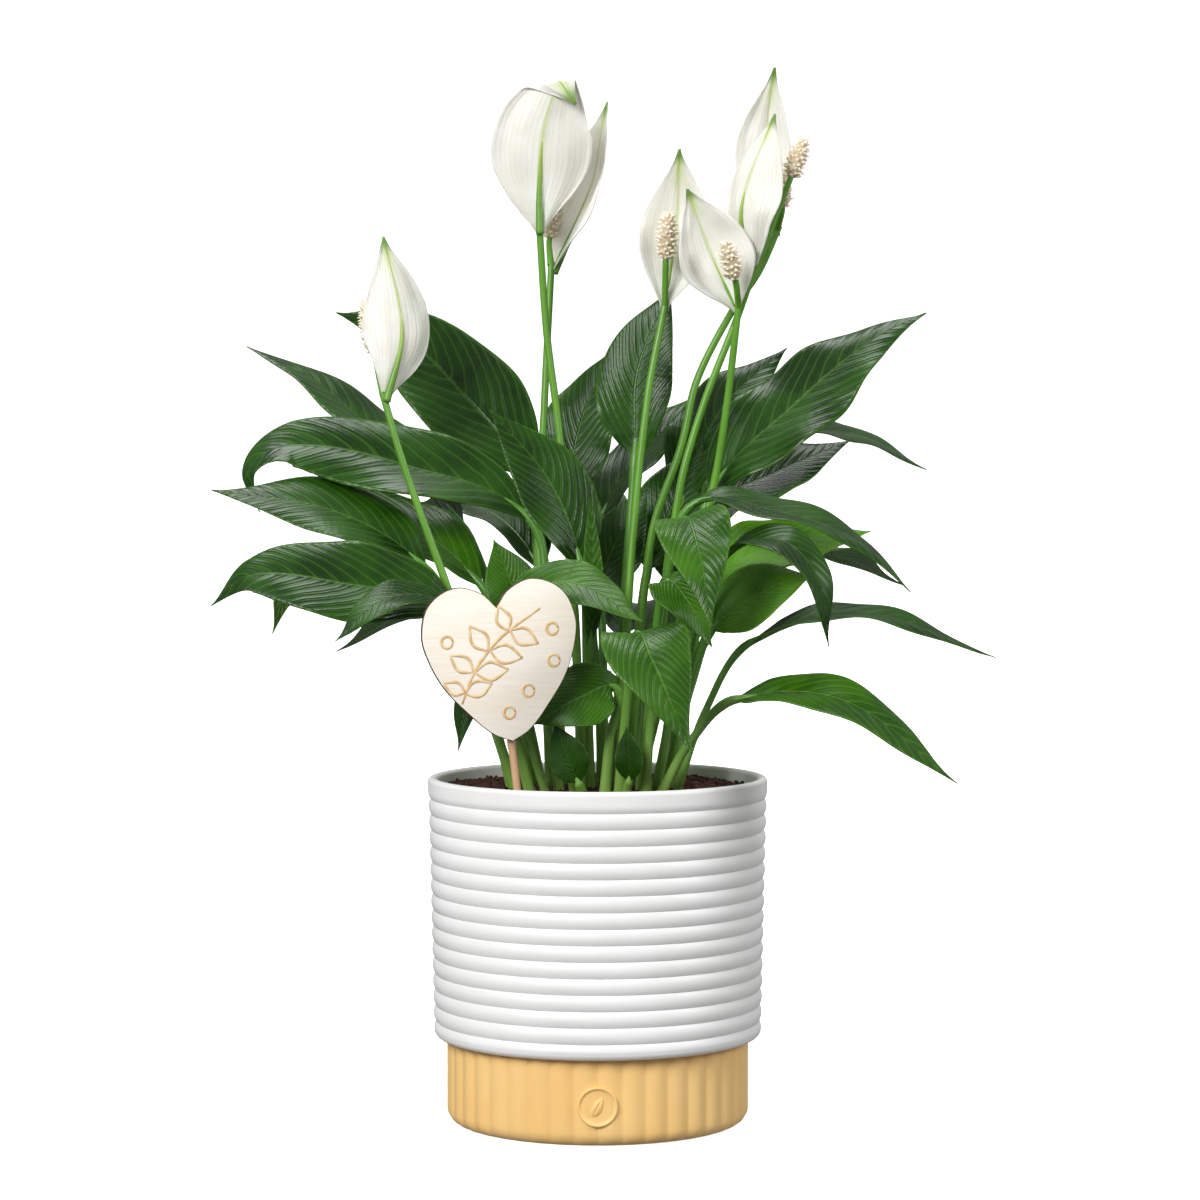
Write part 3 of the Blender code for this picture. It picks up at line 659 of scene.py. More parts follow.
for line in sprig_lines:
    route = Route([(x, -HEART_THICKNESS / 2 - 0.02, z) for x, z in line], 8)
    tube(sprig, route, 14, 6, burn_section)
bmesh.ops.transform(sprig, matrix=heart_frame, verts=sprig.verts)
burnt = Finish("burnt_line", Roughness=0.75)
toast = burnt.grain(300, 3)
tan = burnt.blend(toast.limited(0.35, 0.65), (0.70, 0.46, 0.22), (0.83, 0.62, 0.37))
burnt.feed("Base Color", tan)
burnt.bump(toast, 0.05 * MM)
piece("heart_sprig", sprig, [burnt], [])

# Stick: a round bamboo skewer, with a knot just under the heart. It is glued to the heart's
# back and pushed into the soil.
STICK_RADIUS = 1.7
STICK_REACH = 24.0
stick_back = HEART_THICKNESS / 2 + STICK_RADIUS + 0.1
stick_top = HEART_POINT + HEART_SET @ Vector((0, stick_back, STICK_REACH))
stick_along = HEART_SET @ Vector((0, 0, 1))
stick_foot = stick_top - stick_along * ((stick_top.z - SOIL_TOP + 3) / stick_along.z)
stick = bmesh.new()
knot_at = (HEART_POINT.z - 1.5 - stick_foot.z) / (stick_top.z - stick_foot.z)


def stick_section(share):
    radius = MM * (STICK_RADIUS * 0.97 + 0.28 * math.exp(-((share - knot_at) / 0.03) ** 2))
    return Vector((0, -1, 0)), radius, radius, 0


stick_route = Route([stick_foot * MM, stick_foot.lerp(stick_top, 0.5) * MM, stick_top * MM])
tube(stick, stick_route, 60, 20, stick_section)
bamboo = Finish("bamboo_stick", Roughness=0.5)
strand = bamboo.grain(300, 3, stretch=(1, 1, 0.05))
cane = bamboo.blend(strand.limited(0.3, 0.7), (0.36, 0.19, 0.10), (0.60, 0.37, 0.21))
bamboo.feed("Base Color", cane)
bamboo.bump(strand, 0.1 * MM)
piece("sign_skewer", stick, [bamboo], ["sign_stick"], sharp=60)

# ---------------------------------------------------------------------------
# Leaves: each is a round green leaf stalk that rises from the soil, thickens where it meets
# the blade and runs on under it as the midrib, and a thin glossy blade with pressed-in side
# veins that sweep towards a drawn-out tip. Older blades are dark, the youngest is lime green,
# and right_short has the lime finish too, as painted light in the shade of the leaves above.
BLADE_THICKNESS = 0.5
STALK_RADIUS = 2.0
KNEE_OUT = 0.4
KNEE_UP = 0.55
BLADE_COLUMNS = 24
BLADE_ROWS = 90

# Foot on the soil, then heel of the blade, midrib and tip above the soil, blade width, the way
# the upper side faces at the heel and at the tip, and where they aren't the usual ones also
# the fold, the waviness and the age.
LEAVES = {
    "left_high": (
        (-28, 20), [(-59, 45, 110), (-97, 58, 150), (-128, 70, 176), (-157, 80, 190)],
        38, (0.5, -0.35, 0.8), (0.2, -0.35, 0.9), 0.35),
    "left_arch": (
        (-20, 0), [(-29, 12, 114), (-85, 12, 138), (-130, 10, 146), (-149, 6, 136), (-145, 8, 117)],
        42, (0.3, -0.6, 0.75), (-0.7, -0.55, 0.4)),
    "left_middle": (
        (-36, -5), [(-73, -10, 94), (-112, -7, 118), (-163, -14, 127)],
        38, (0.3, -0.6, 0.75), (0.0, -0.6, 0.8)),
    "left_bright": (
        (-28, 4), [(-50, 8, 86), (-91, 20, 115), (-152, 24, 121)],
        38, (0.3, -0.55, 0.8), (0.0, -0.5, 0.85), 0.3, 1.0, "mid"),
    "left_low": (
        (-28, -22), [(-60, -28, 76), (-109, -36, 89), (-144, -38, 92), (-161, -36, 79)],
        42, (0.1, -0.75, 0.65), (-0.3, -0.7, 0.6)),
    "left_front": (
        (-21, -29), [(-62, -37, 79), (-86, -52, 83), (-107, -68, 66)],
        20, (0.2, -0.5, 0.85), (-0.2, -0.5, 0.85)),
    "left_drooping": (
        (-36, 9), [(-77, 28, 79), (-113, 42, 93), (-135, 46, 84), (-143, 44, 63)],
        30, (0.0, 0.3, 0.95), (-0.6, 0.6, 0.4), 0.3, 1.0, "mid"),
    "centre_glossy": (
        (-3, -12), [(-7, -10, 95), (-21, -4, 131), (-46, 0, 161)],
        34, (0.3, -0.85, 0.4), (0.2, -0.9, 0.4), 0.35),
    "back_broad": (
        (-20, 15), [(-32, 38, 132), (-58, 50, 167), (-89, 56, 196), (-115, 52, 204)],
        50, (0.4, -0.85, 0.3), (0.1, -0.9, 0.5), 0.25),
    "back_narrow": (
        (-7, 15), [(-13, 34, 120), (-7, 44, 157), (8, 52, 190)],
        34, (-0.1, -0.9, 0.3), (-0.4, -0.8, 0.4), 0.35),
    "upright": (
        (8, 7), [(16, 18, 141), (17, 24, 177), (32, 26, 215)],
        34, (-0.2, -0.95, 0.1), (-0.3, -0.9, 0.2), 0.35),
    "right_thin": (
        (3, 24), [(1, 60, 112), (25, 78, 148), (63, 90, 178)],
        32, (-0.4, -0.5, 0.75), (-0.3, -0.4, 0.85), 0.4),
    "right_large": (
        (33, 4), [(49, 16, 126), (86, 22, 164), (118, 26, 191), (142, 26, 203)],
        46, (-0.5, -0.75, 0.4), (-0.2, -0.6, 0.75), 0.25),
    "right_behind": (
        (18, 17), [(38, 44, 122), (54, 58, 161), (84, 68, 189)],
        38, (-0.5, -0.75, 0.3), (-0.4, -0.75, 0.5)),
    "right_back": (
        (33, 23), [(65, 50, 144), (112, 62, 151), (146, 64, 135)],
        32, (-0.2, -0.25, 0.95), (0.3, -0.25, 0.9)),
    "right_middle": (
        (30, 13), [(46, 24, 116), (77, 30, 134), (110, 34, 148)],
        36, (-0.3, -0.6, 0.7), (-0.1, -0.6, 0.75)),
    "right_arch": (
        (19, -8), [(39, -14, 120), (76, -25, 118), (110, -35, 105), (130, -42, 85)],
        27, (-0.1, -0.35, 0.95), (0.6, -0.3, 0.75)),
    "right_lime": (
        (26, -1), [(44, -1, 85), (80, 3, 104), (117, 8, 109)],
        38, (-0.2, -0.6, 0.8), (0.0, -0.6, 0.8), 0.3, 1.0, "lime"),
    "right_hook": (
        (24, -17), [(52, -30, 98), (74, -50, 107), (90, -58, 92), (95, -60, 63)],
        23, (0.0, -0.5, 0.85), (0.8, -0.55, 0.2), 0.35),
    # right_short has the lime finish as painted light: a lighter green than its own, so that it
    # reads lit where it lies in the shade of the leaves above.
    "right_short": (
        (29, -9), [(48, -20, 68), (70, -26, 85), (90, -30, 92)],
        32, (-0.3, -0.75, 0.6), (-0.1, -0.75, 0.65), 0.3, 1.0, "lime"),
    "front_hanging": (
        (18, -22), [(35, -40, 114), (41, -64, 104), (46, -80, 72)],
        32, (-0.1, -0.5, 0.85), (0.0, -0.9, 0.4), 0.3, 1.0, "mid"),
    "front_dark": (
        (20, -29), [(28, -46, 89), (36, -56, 83), (47, -62, 63)],
        26, (0.1, -0.6, 0.8), (0.2, -0.9, 0.4), 0.3, 1.0, "mid"),
    "front_heart": (
        (9, -33), [(16, -55, 68), (22, -77, 59), (38, -90, 22)],
        37, (0.0, -0.6, 0.8), (0.1, -0.9, 0.4), 0.25, 1.0, "mid"),
    "right_reaching": (
        (33, -17), [(64, -24, 63), (111, -38, 76), (165, -44, 58)],
        21, (0.0, -0.3, 0.95), (0.4, -0.35, 0.85), 0.35),
    "right_lowest": (
        (26, -25), [(57, -38, 40), (101, -58, 41), (147, -70, 8)],
        28, (0.0, -0.5, 0.85), (0.5, -0.5, 0.7), 0.3, 1.0, "mid"),
    "behind_sign": (
        (-9, -25), [(-35, -29, 76), (-14, -31, 89), (19, -52, 73)],
        24, (0.0, -0.6, 0.8), (0.3, -0.8, 0.5), 0.3, 1.0, "mid"),
    "under_sign": (
        (-27, -30), [(-43, -39, 43), (-53, -43, 41), (-58, -44, 19)],
        16, (-0.3, -0.6, 0.7), (-0.6, -0.75, 0.2)),
    "low_centre": (
        (3, -31), [(8, -32, 44), (-8, -42, 41), (-27, -46, 30)],
        28, (0.0, -0.9, 0.4), (0.0, -0.9, 0.4), 0.2, 1.0, "mid"),
    "rear_left": (
        (-14, 28), [(-26, 54, 92), (-56, 92, 119), (-95, 124, 115)],
        44, (0.1, 0.1, 0.95), (-0.4, 0.4, 0.8)),
    "rear_centre": (
        (-4, 32), [(-5, 58, 97), (-12, 100, 125), (-25, 148, 115)],
        46, (0.0, -0.2, 0.95), (0.0, 0.5, 0.85)),
    "rear_right": (
        (16, 27), [(30, 52, 87), (55, 92, 119), (85, 132, 111)],
        46, (-0.1, 0.1, 0.95), (0.4, 0.4, 0.8)),
    "rear_far_right": (
        (31, 30), [(56, 37, 77), (97, 60, 99), (138, 84, 83)],
        38, (-0.1, 0.0, 0.95), (0.4, 0.3, 0.85)),
    "rear_low": (
        (8, 34), [(10, 47, 62), (20, 88, 74), (38, 128, 45)],
        34, (0.0, 0.1, 0.95), (0.1, 0.6, 0.8)),
    "rear_low_left": (
        (-24, 30), [(-45, 44, 63), (-80, 66, 73), (-118, 88, 53)],
        34, (-0.1, 0.1, 0.95), (-0.5, 0.4, 0.8)),
}


def smooth_share(table, share):
    """The value at this share on a smooth line through the table's pairs."""
    index = 1
    while index < len(table) - 1 and table[index][0] < share:
        index += 1
    left, right = table[index - 1], table[index]
    before, after = table[max(index - 2, 0)], table[min(index + 1, len(table) - 1)]
    span = right[0] - left[0]
    part = (share - left[0]) / span
    leave = (right[1] - before[1]) / (right[0] - before[0]) * span
    arrive = (after[1] - left[1]) / (after[0] - left[0]) * span
    square, cube = part * part, part * part * part
    return (
        left[1] * (2 * cube - 3 * square + 1) + leave * (cube - 2 * square + part)
        + right[1] * (3 * square - 2 * cube) + arrive * (cube - square))


def blade(
        bm, route, start, outline, width, faces, columns, rows, thickness, section, marks,
        bend=None):
    """A thin skin along a route from this length on, with its upper side as the first finish.

    It is the first thing made in its mesh. section gives (side, lift) in millimetres from the
    half width, the across share and the along share. marks gives the pattern's own place on
    the skin, which the finish follows. bend moves the upper side's points at the end."""
    length = route.total - start
    layer = bm.loops.layers.uv.verify()
    skin = bmesh.ops.create_grid(bm, x_segments=columns, y_segments=rows, size=1.0)["verts"]
    sheet = list(bm.faces)
    for vert in skin:
        across_share, share = vert.co.x, (vert.co.y + 1) / 2
        half = max(width / 2 * smooth_share(outline, share), 0.12)
        for loop in vert.link_loops:
            loop[layer].uv = marks(half, across_share, share, length)
        here, along = route.at(start + length * share)
        up = faces[0].lerp(faces[1], share)
        up = (up - along * up.dot(along)).normalized()
        side, lift = section(half, across_share, share)
        vert.co = here + up.cross(along) * side + up * lift
    bmesh.ops.recalc_face_normals(bm, faces=sheet)
    here = route.at(start + length * 0.5)[0]
    middle = [face for face in sheet if (face.calc_center_median() - here).length < length * 0.2]
    up = faces[0].lerp(faces[1], 0.5)
    if sum(face.normal.dot(up) for face in middle) < 0:
        bmesh.ops.reverse_faces(bm, faces=sheet)
    bm.normal_update()
    if bend:
        bend(skin)
    lower = bmesh.ops.extrude_face_region(bm, geom=sheet, use_keep_orig=True)["geom"]
    for item in lower:
        if isinstance(item, bmesh.types.BMVert):
            item.co -= item.normal * thickness
        elif isinstance(item, bmesh.types.BMFace):
            item.material_index = 1
    bmesh.ops.recalc_face_normals(bm, faces=bm.faces)


LEAF_OUTLINE = [
    (0.0, 0.06), (0.03, 0.22), (0.07, 0.42), (0.17, 0.74), (0.3, 0.96), (0.43, 1.0),
    (0.57, 0.9), (0.7, 0.68), (0.81, 0.42), (0.9, 0.19), (0.96, 0.06), (1.0, 0.01),
]
SHOULDERED_OUTLINE = [
    (0.0, 0.12), (0.03, 0.5), (0.08, 0.78), (0.17, 0.96), (0.28, 1.0), (0.42, 0.9),
    (0.56, 0.69), (0.7, 0.44), (0.82, 0.23), (0.92, 0.09), (0.97, 0.04), (1.0, 0.01),
]
SHOULDERED = {"front_hanging", "front_dark", "front_heart", "under_sign"}
VEINS = 12
VEIN_RELIEF = 0.22
VEIN_SPAN = 0.6
VEIN_START = 0.4


def vein_place(half, across, share, length):
    """Side veins leave the midrib slantwise and sweep towards the tip."""
    reach = abs(across) ** 1.3 * half * 2.0 / length
    return (across * 0.5 + 0.5, (share - reach) * VEIN_SPAN + VEIN_START)


def leaf_section(fold, wave, phases, length):
    def section(half, across, share):
        side = half * across
        open_fold = fold * min(1.0, share * 8) * (1.15 - 0.5 * share)
        lift = open_fold * (math.hypot(side, 1.2) - 1.2)
        lift -= 0.22 * half * across ** 2 * (0.3 + share)
        ripple = math.sin(math.tau * share * phases[2] + (phases[0] if across < 0 else phases[1]))
        lift += wave * ripple * abs(across) ** 2.2 * half / 18 * min(1.0, share * 4)
        mark = vein_place(half, across, share, length)[1] - VEIN_START
        turn = math.tau * VEINS * mark / VEIN_SPAN
        edge = min(1.0, (1 - abs(across)) * 4) * min(1.0, abs(across) * 8) * min(1.0, half / 8)
        lift -= VEIN_RELIEF * (0.5 + 0.5 * math.cos(turn)) ** 3 * edge
        return side * (1 - 0.06 * open_fold), lift

    return section


def vein_wave(run, count):
    """1 on each of this many veins, and 0 halfway between two."""
    return (run * (math.tau * count / VEIN_SPAN) + math.pi / 2).sine() * 0.5 + 0.5


def leaf_finishes(age, dark, light, vein, under, rib, gloss):
    """The blade's upper side and underside, from the same pattern of veins."""
    upper = Finish(age + "_leaf_upper", Specular_IOR_Level=0.27)
    across = abs(upper.place("UV", "X") * 2 - 1)
    stray = upper.grain(55, 2) * 0.035
    run = upper.place("UV", "Y") - VEIN_START + stray
    wave = vein_wave(run, VEINS)
    fine = vein_wave(run, VEINS * 3)
    line = wave ** 9
    mottle = upper.grain(38, 4)
    cells = upper.grain(1400, 2)
    lamina = upper.blend(mottle.limited(0.32, 0.68), dark, light)
    lamina = upper.blend(fine ** 4 * 0.10 + line * 0.3, lamina, vein)
    margin = across.limited(0.9, 1.0)
    lamina = upper.blend(margin * 0.35, lamina, rib)
    keel = 1 - across.limited(0.01, 0.05)
    upper.feed("Base Color", upper.blend(keel * 0.32, lamina, rib))
    upper.feed("Roughness", mottle * 0.16 + (gloss - 0.08) + line * 0.06)
    upper.bump(wave ** 2 * -0.5 - keel * 1.2 + fine * 0.16 + cells * 0.10, 0.25 * MM)

    lower = Finish(age + "_leaf_under", Roughness=0.5)
    across = abs(lower.place("UV", "X") * 2 - 1)
    line = vein_wave(lower.place("UV", "Y") - VEIN_START, VEINS) ** 8
    mottle = lower.grain(45, 4)
    lamina = lower.blend(mottle.limited(0.3, 0.7), under, tuple(part * 1.25 for part in under))
    lamina = lower.blend(line * 0.45, lamina, rib)
    keel = 1 - across.limited(0.03, 0.14)
    lower.feed("Base Color", lower.blend(keel * 0.7, lamina, rib))
    lower.feed("Roughness", mottle * 0.2 + 0.38)
    lower.bump(line * 1.2 + keel * 1.5 + lower.grain(1200, 2) * 0.3, 0.30 * MM)
    return upper, lower


def stalk_finish(name, low, high, tall):
    """Ribbed green stem, paler where it comes out of the soil."""
    made = Finish(name, Roughness=0.38, Coat_Weight=0.1, Coat_Roughness=0.3)
    rise = made.place("Object", "Z").limited(SOIL_TOP * MM, (SOIL_TOP + tall) * MM)
    streak = made.grain(220, 3, stretch=(1, 1, 0.05))
    tint = made.blend(rise, low, high)
    made.feed("Base Color", made.blend(
        streak.limited(0.3, 0.75) * 0.45, tint, tuple(part * 1.55 for part in high)))
    made.feed("Roughness", streak * 0.2 + 0.3)
    made.bump(streak, 0.25 * MM)
    return made


AGES = {
    "dark": leaf_finishes(
        "dark", (0.0036, 0.021, 0.0010), (0.014, 0.064, 0.0018), (0.052, 0.155, 0.010),
        (0.050, 0.14, 0.018), (0.085, 0.21, 0.025), 0.29),
    "mid": leaf_finishes(
        "mid", (0.012, 0.057, 0.0018), (0.038, 0.132, 0.0030), (0.090, 0.24, 0.014),
        (0.085, 0.20, 0.026), (0.12, 0.28, 0.035), 0.30),
    "lime": leaf_finishes(
        "lime", (0.050, 0.18, 0.006), (0.11, 0.31, 0.012), (0.18, 0.40, 0.03),
        (0.15, 0.30, 0.03), (0.21, 0.41, 0.04), 0.32),
}
PETIOLE = stalk_finish("leaf_stalk", (0.19, 0.33, 0.065), (0.065, 0.20, 0.016), 70)


def leaf(
        name, nodes, foot, points, width, face_low, face_high, fold=0.3, wave=1.0, age="dark"):
    start = Vector((foot[0], foot[1], SOIL_TOP - 2))
    points = [Vector(point) + Vector((0, 0, SOIL_TOP)) for point in points]
    knee = start.lerp(points[0], KNEE_OUT)
    knee.z = start.z + (points[0].z - start.z) * KNEE_UP
    route = Route([start, knee] + points)
    heel = route.length_to(2)
    blade_length = route.total - heel
    low, high = Vector(face_low), Vector(face_high)
    own = random.Random(name)
    phases = (own.uniform(0, math.tau), own.uniform(0, math.tau), own.uniform(1.6, 3.2))
    wave *= own.uniform(0.9, 1.9)
    outline = SHOULDERED_OUTLINE if name.removeprefix("blade_") in SHOULDERED else LEAF_OUTLINE
    stalk_radius = STALK_RADIUS * min(1.0, 0.3 + width / 40)
    bm = bmesh.new()
    blade(
        bm, route, heel, outline, width, (low, high), BLADE_COLUMNS, BLADE_ROWS,
        BLADE_THICKNESS, leaf_section(fold, wave, phases, blade_length), vein_place)

    def section_of(share):
        run = share * route.total
        up = low.lerp(high, max(0.0, (run - heel) / blade_length))
        if run < heel:
            near_soil = math.exp(-run / 14)
            knuckle = 0.3 * math.exp(-((heel - run - 5) / 6) ** 2)
            wide = stalk_radius * (0.92 + 0.5 * near_soil) + knuckle
            return up, wide, stalk_radius * 0.9 + knuckle, 0
        along = min(1.0, (run - heel) / blade_length)
        fade = max(0.0, 1 - along * 9)
        rib = stalk_radius * (0.5 * (1 - along) ** 1.3 + 0.4 * fade) + 0.08
        return up, rib, rib, (rib + 0.1) * (1 - fade)

    tube(bm, route, 60, 12, section_of, 2)
    bmesh.ops.scale(bm, vec=(MM, MM, MM), verts=bm.verts)
    return piece(name, bm, [*AGES[age], PETIOLE], nodes)


for name, build in LEAVES.items():
    leaf("blade_" + name, ["leaf_" + name], *build)

# Young leaves: one still rolled, others small and low in the tuft, all grown from the same
# crown as the rest. They fill its middle.
YOUNG_LEAVES = {
    "rolled": (
        (-4, -12), [(-3, -13, 62), (-2, -14, 80), (-3, -14, 124)],
        9, (0.1, -0.9, 0.3), (0.1, -0.9, 0.3), 0.9, 0.3, "mid"),
    "inner_right": (
        (12, 12), [(22, 34, 92), (34, 44, 122), (47, 52, 150)],
        34, (-0.3, -0.9, 0.3), (-0.2, -0.8, 0.5)),
    "inner_centre": (
        (2, 10), [(-2, 20, 76), (8, 28, 104), (22, 34, 128)],
        30, (-0.2, -0.9, 0.3), (-0.2, -0.8, 0.5)),
    "low_left": (
        (-6, -34), [(-8, -37, 5), (-12, -40, 15), (-18, -41, 30)],
        17, (0.1, -1.0, 0.2), (0.1, -0.9, 0.2), 0.2, 0.5, "dark"),
    "low_right": (
        (12, -34), [(13, -38, 6), (13, -41, 15), (12, -42, 29)],
        12, (-0.1, -1.0, 0.2), (-0.1, -0.9, 0.2), 0.4, 0.5, "dark"),
    "behind_heart": (
        (-16, -18), [(-30, -14, 70), (-36, -13, 86), (-44, -12, 106)],
        24, (0.1, -0.9, 0.3), (0.1, -0.9, 0.4), 0.2, 0.6, "mid"),
}
for name, build in YOUNG_LEAVES.items():
    leaf("young_" + name, [], *build)

# ---------------------------------------------------------------------------
# Flowers: a smooth green stalk, a cupped white spathe with a green keel and fine veins from
# heel to tip, and a cream spadix packed with small pointed florets in a spiral.
SPATHE_OUTLINE = [
    (0.0, 0.05), (0.05, 0.17), (0.12, 0.38), (0.22, 0.68), (0.34, 0.93), (0.46, 1.0), (0.58, 0.93),
    (0.7, 0.72), (0.82, 0.43), (0.9, 0.22), (0.96, 0.08), (1.0, 0.015),
]
SPATHE_THICKNESS = 0.55
SPATHE_COLUMNS = 36
SPATHE_ROWS = 56
SPATHE_VEINS = 9
CREASE_DEPTH = 1.5
FLOWER_STALK_RADIUS = 1.9
SPADIX_RADIUS = 3.3
SPADIX_OUTLINE = [(0.0, 0.55), (0.12, 0.88), (0.35, 1.0), (0.7, 0.92), (0.92, 0.62), (1.0, 0.35)]
FLORET_SPACING = 2.0
FLORET_SINK = 0.35
GOLDEN_TURN = math.radians(137.5)


def spathe_finish(name, heel_strength):
    """White petal with soft veins, greenish at its heel and green at its point."""
    made = Finish(
        name, Roughness=0.45, Specular_IOR_Level=0.35, Subsurface_Weight=0.12,
        Subsurface_Scale=0.004, Subsurface_Radius=(1.0, 0.9, 0.6))
    stray = made.grain(30, 2) * 0.12
    across = abs(made.place("UV", "X") * 2 - 1)
    run = made.place("UV", "Y")
    line = 1 - abs(((across + stray) * (math.pi * SPATHE_VEINS)).sine())
    cloud = made.grain(60, 4)
    petal = made.blend(cloud.limited(0.3, 0.7), (0.73, 0.72, 0.64), (0.82, 0.815, 0.75))
    petal = made.blend(line ** 5 * 0.13, petal, (0.62, 0.65, 0.48))
    keel = 1 - across.limited(0.0, 0.09)
    heel = (1 - run.limited(0.0, 0.16)) * (1 - across.limited(0.1, 0.9))
    flush = run.limited(0.72, 0.95) * (1 - across.limited(0.0, 0.7))
    point = run.limited(0.88, 0.97)
    petal = made.blend(keel * 0.6, petal, (0.46, 0.57, 0.16))
    petal = made.blend(heel * heel_strength + flush * 0.8, petal, (0.46, 0.60, 0.12))
    made.feed("Base Color", made.blend(point * 0.92, petal, (0.13, 0.29, 0.025)))
    made.feed("Roughness", cloud * 0.16 + 0.36)
    made.bump(line ** 3 * 0.5 + made.grain(900, 2) * 0.25, 0.2 * MM)
    return made


PETAL_INSIDE = spathe_finish("petal_inside", 0.55)
PETAL_OUTSIDE = spathe_finish("petal_outside", 0.35)
FLOWER_STALK = stalk_finish("flower_stalk", (0.20, 0.38, 0.06), (0.095, 0.26, 0.018), 110)

KEEL = Finish("petal_keel", Roughness=0.4)
keel_run = KEEL.place("UV", "Y")
keel_grain = KEEL.grain(300, 3)
keel_tint = KEEL.blend(keel_run.limited(0.12, 0.5), (0.10, 0.26, 0.025), (0.36, 0.48, 0.07))
keel_tint = KEEL.blend(keel_run.limited(0.8, 0.95), keel_tint, (0.12, 0.28, 0.035))
KEEL.feed("Base Color", KEEL.blend(keel_grain * 0.3, keel_tint, (0.30, 0.48, 0.10)))
KEEL.bump(keel_grain, 0.12 * MM)

SPADIX = Finish("spadix_cream", Roughness=0.6, Subsurface_Weight=0.1, Subsurface_Scale=0.002)
height = SPADIX.place("UV", "Y")
dust = SPADIX.grain(700, 3)
cream = SPADIX.blend(dust.limited(0.35, 0.7), (0.82, 0.70, 0.52), (0.93, 0.87, 0.75))
SPADIX.feed("Base Color", SPADIX.blend(height.limited(0.0, 0.5), (0.52, 0.40, 0.23), cream))
SPADIX.feed("Roughness", dust * 0.2 + 0.5)
SPADIX.bump(dust, 0.15 * MM)

# Foot, stalk, spathe's rib, its width, the way its inside faces low and high, how far it wraps,
# and the spadix from its first florets to its last, in millimetres above the soil.
FLOWERS = {
    "flower_left": (
        (-34, -15), [(-63, -18, 85), (-81, -14, 135), (-91, -10, 168)],
        [(-83, -8, 194), (-91, -2, 234)],
        36, (-0.4, 0.9, 0.1), (-0.4, 0.9, 0.1), 1.0, (-95, 2, 185), (-99, 7, 206)),
    "flower_tallest": (
        (-5, -2), [(-16, 14, 146), (-22, 16, 195), (-25, 14, 240)],
        [(-25, 14, 254), (-23, 11, 280), (-18, 9, 297), (-13, 8, 314)],
        46, (0.0, 1.0, 0.0), (0.0, 1.0, 0.0), 0.6, (-25, 24, 251), (-25, 26, 275)),
    "flower_narrow": (
        (-13, 7), [(-25, 20, 96), (-23, 27, 165), (-20, 32, 225)],
        [(-3, 38, 259), (1, 40, 279), (4, 40, 295)],
        32, (-0.75, -0.6, 0.2), (-0.75, -0.6, 0.2), 0.9, (-21, 38, 236), (-19, 40, 256)),
    "flower_front": (
        (9, -14), [(14, -4, 94), (21, 2, 164), (29, 8, 207)],
        [(34, 15, 242), (35, 10, 272)],
        36, (0.0, -0.95, 0.2), (0.0, -0.95, 0.1), 0.9, (29, 2, 225), (30, 0, 243)),
    "flower_leaning": (
        (17, 1), [(49, 8, 126), (55, 5, 162), (60, 0, 206)],
        [(47, 1, 230), (38, -4, 254)],
        40, (0.25, -0.9, 0.35), (0.25, -0.9, 0.35), 0.8, (58, -9, 216), (54, -13, 230)),
    "flower_right": (
        (18, 8), [(35, 8, 126), (45, 10, 162), (60, 11, 201), (68, 11, 224)],
        [(62, 6, 247), (76, 12, 287)],
        36, (0.7, 0.7, 0.0), (0.7, 0.7, 0.0), 0.9, (83, 17, 261), (88, 18, 276)),
    "flower_behind": (
        (13, 15), [
            (23, 20, 105), (36, 22, 145), (43, 26, 174), (59, 31, 205), (70, 35, 221),
            (79, 38, 241)],
        [(73, 47, 271), (77, 42, 310)],
        28, (-0.2, -0.95, 0.0), (-0.2, -0.95, 0.0), 0.9, (80, 31, 249), (79, 29, 263)),
}


def petal_section(wrap, phases, curl):
    def section(half, across, share):
        bend = across * wrap
        side = half * math.sin(bend) / wrap
        lift = half * (1 - math.cos(bend)) / wrap
        lift -= curl * half * max(0.0, abs(across) - 0.7) ** 2 * 4
        ripple = math.sin(math.tau * share * phases[2] + (phases[0] if across < 0 else phases[1]))
        lift += 0.9 * ripple * abs(across) ** 3 * half / 18
        lift -= 0.8 * math.exp(-(across / 0.08) ** 2) * (1 - share) ** 0.7 * min(1, half / 5)
        fold = abs(math.sin(across * math.pi * SPATHE_VEINS / 2 + phases[0]))
        lift += 0.22 * (1 - fold) ** 2 * min(1, half / 8)
        crease = noise.noise(Vector((across * 2.2, share * 4.5, phases[0])))
        lift += CREASE_DEPTH * crease * min(1, half / 8) * (1 - math.exp(-abs(across) * 6))
        return side, lift

    return section


# The tallest flower's point is folded over along one straight line.
FOLD_SPOT = Vector((-16.0, 8.0, 300.0 + SOIL_TOP))
FOLD_BEYOND = Vector((-0.154, 0.0, 0.988)).normalized()
FOLD_RADIUS = 0.9
FOLD_ANGLE = math.radians(166)


def tip_folded(verts):
    """Turns what lies beyond the fold line down over the outside of the spathe."""
    outward = Vector((0, -1, 0))
    for vert in verts:
        beyond = (vert.co - FOLD_SPOT).dot(FOLD_BEYOND)
        if beyond <= 0:
            continue
        turn = min(beyond / FOLD_RADIUS, FOLD_ANGLE)
        rest = beyond - turn * FOLD_RADIUS
        normal = vert.normal.copy()
        vert.co += FOLD_BEYOND * (math.sin(turn) * FOLD_RADIUS + math.cos(turn) * rest - beyond)
        vert.co += outward * ((1 - math.cos(turn)) * FOLD_RADIUS + math.sin(turn) * rest)
        vert.normal = Matrix.Rotation(turn, 3, FOLD_BEYOND.cross(outward)) @ normal


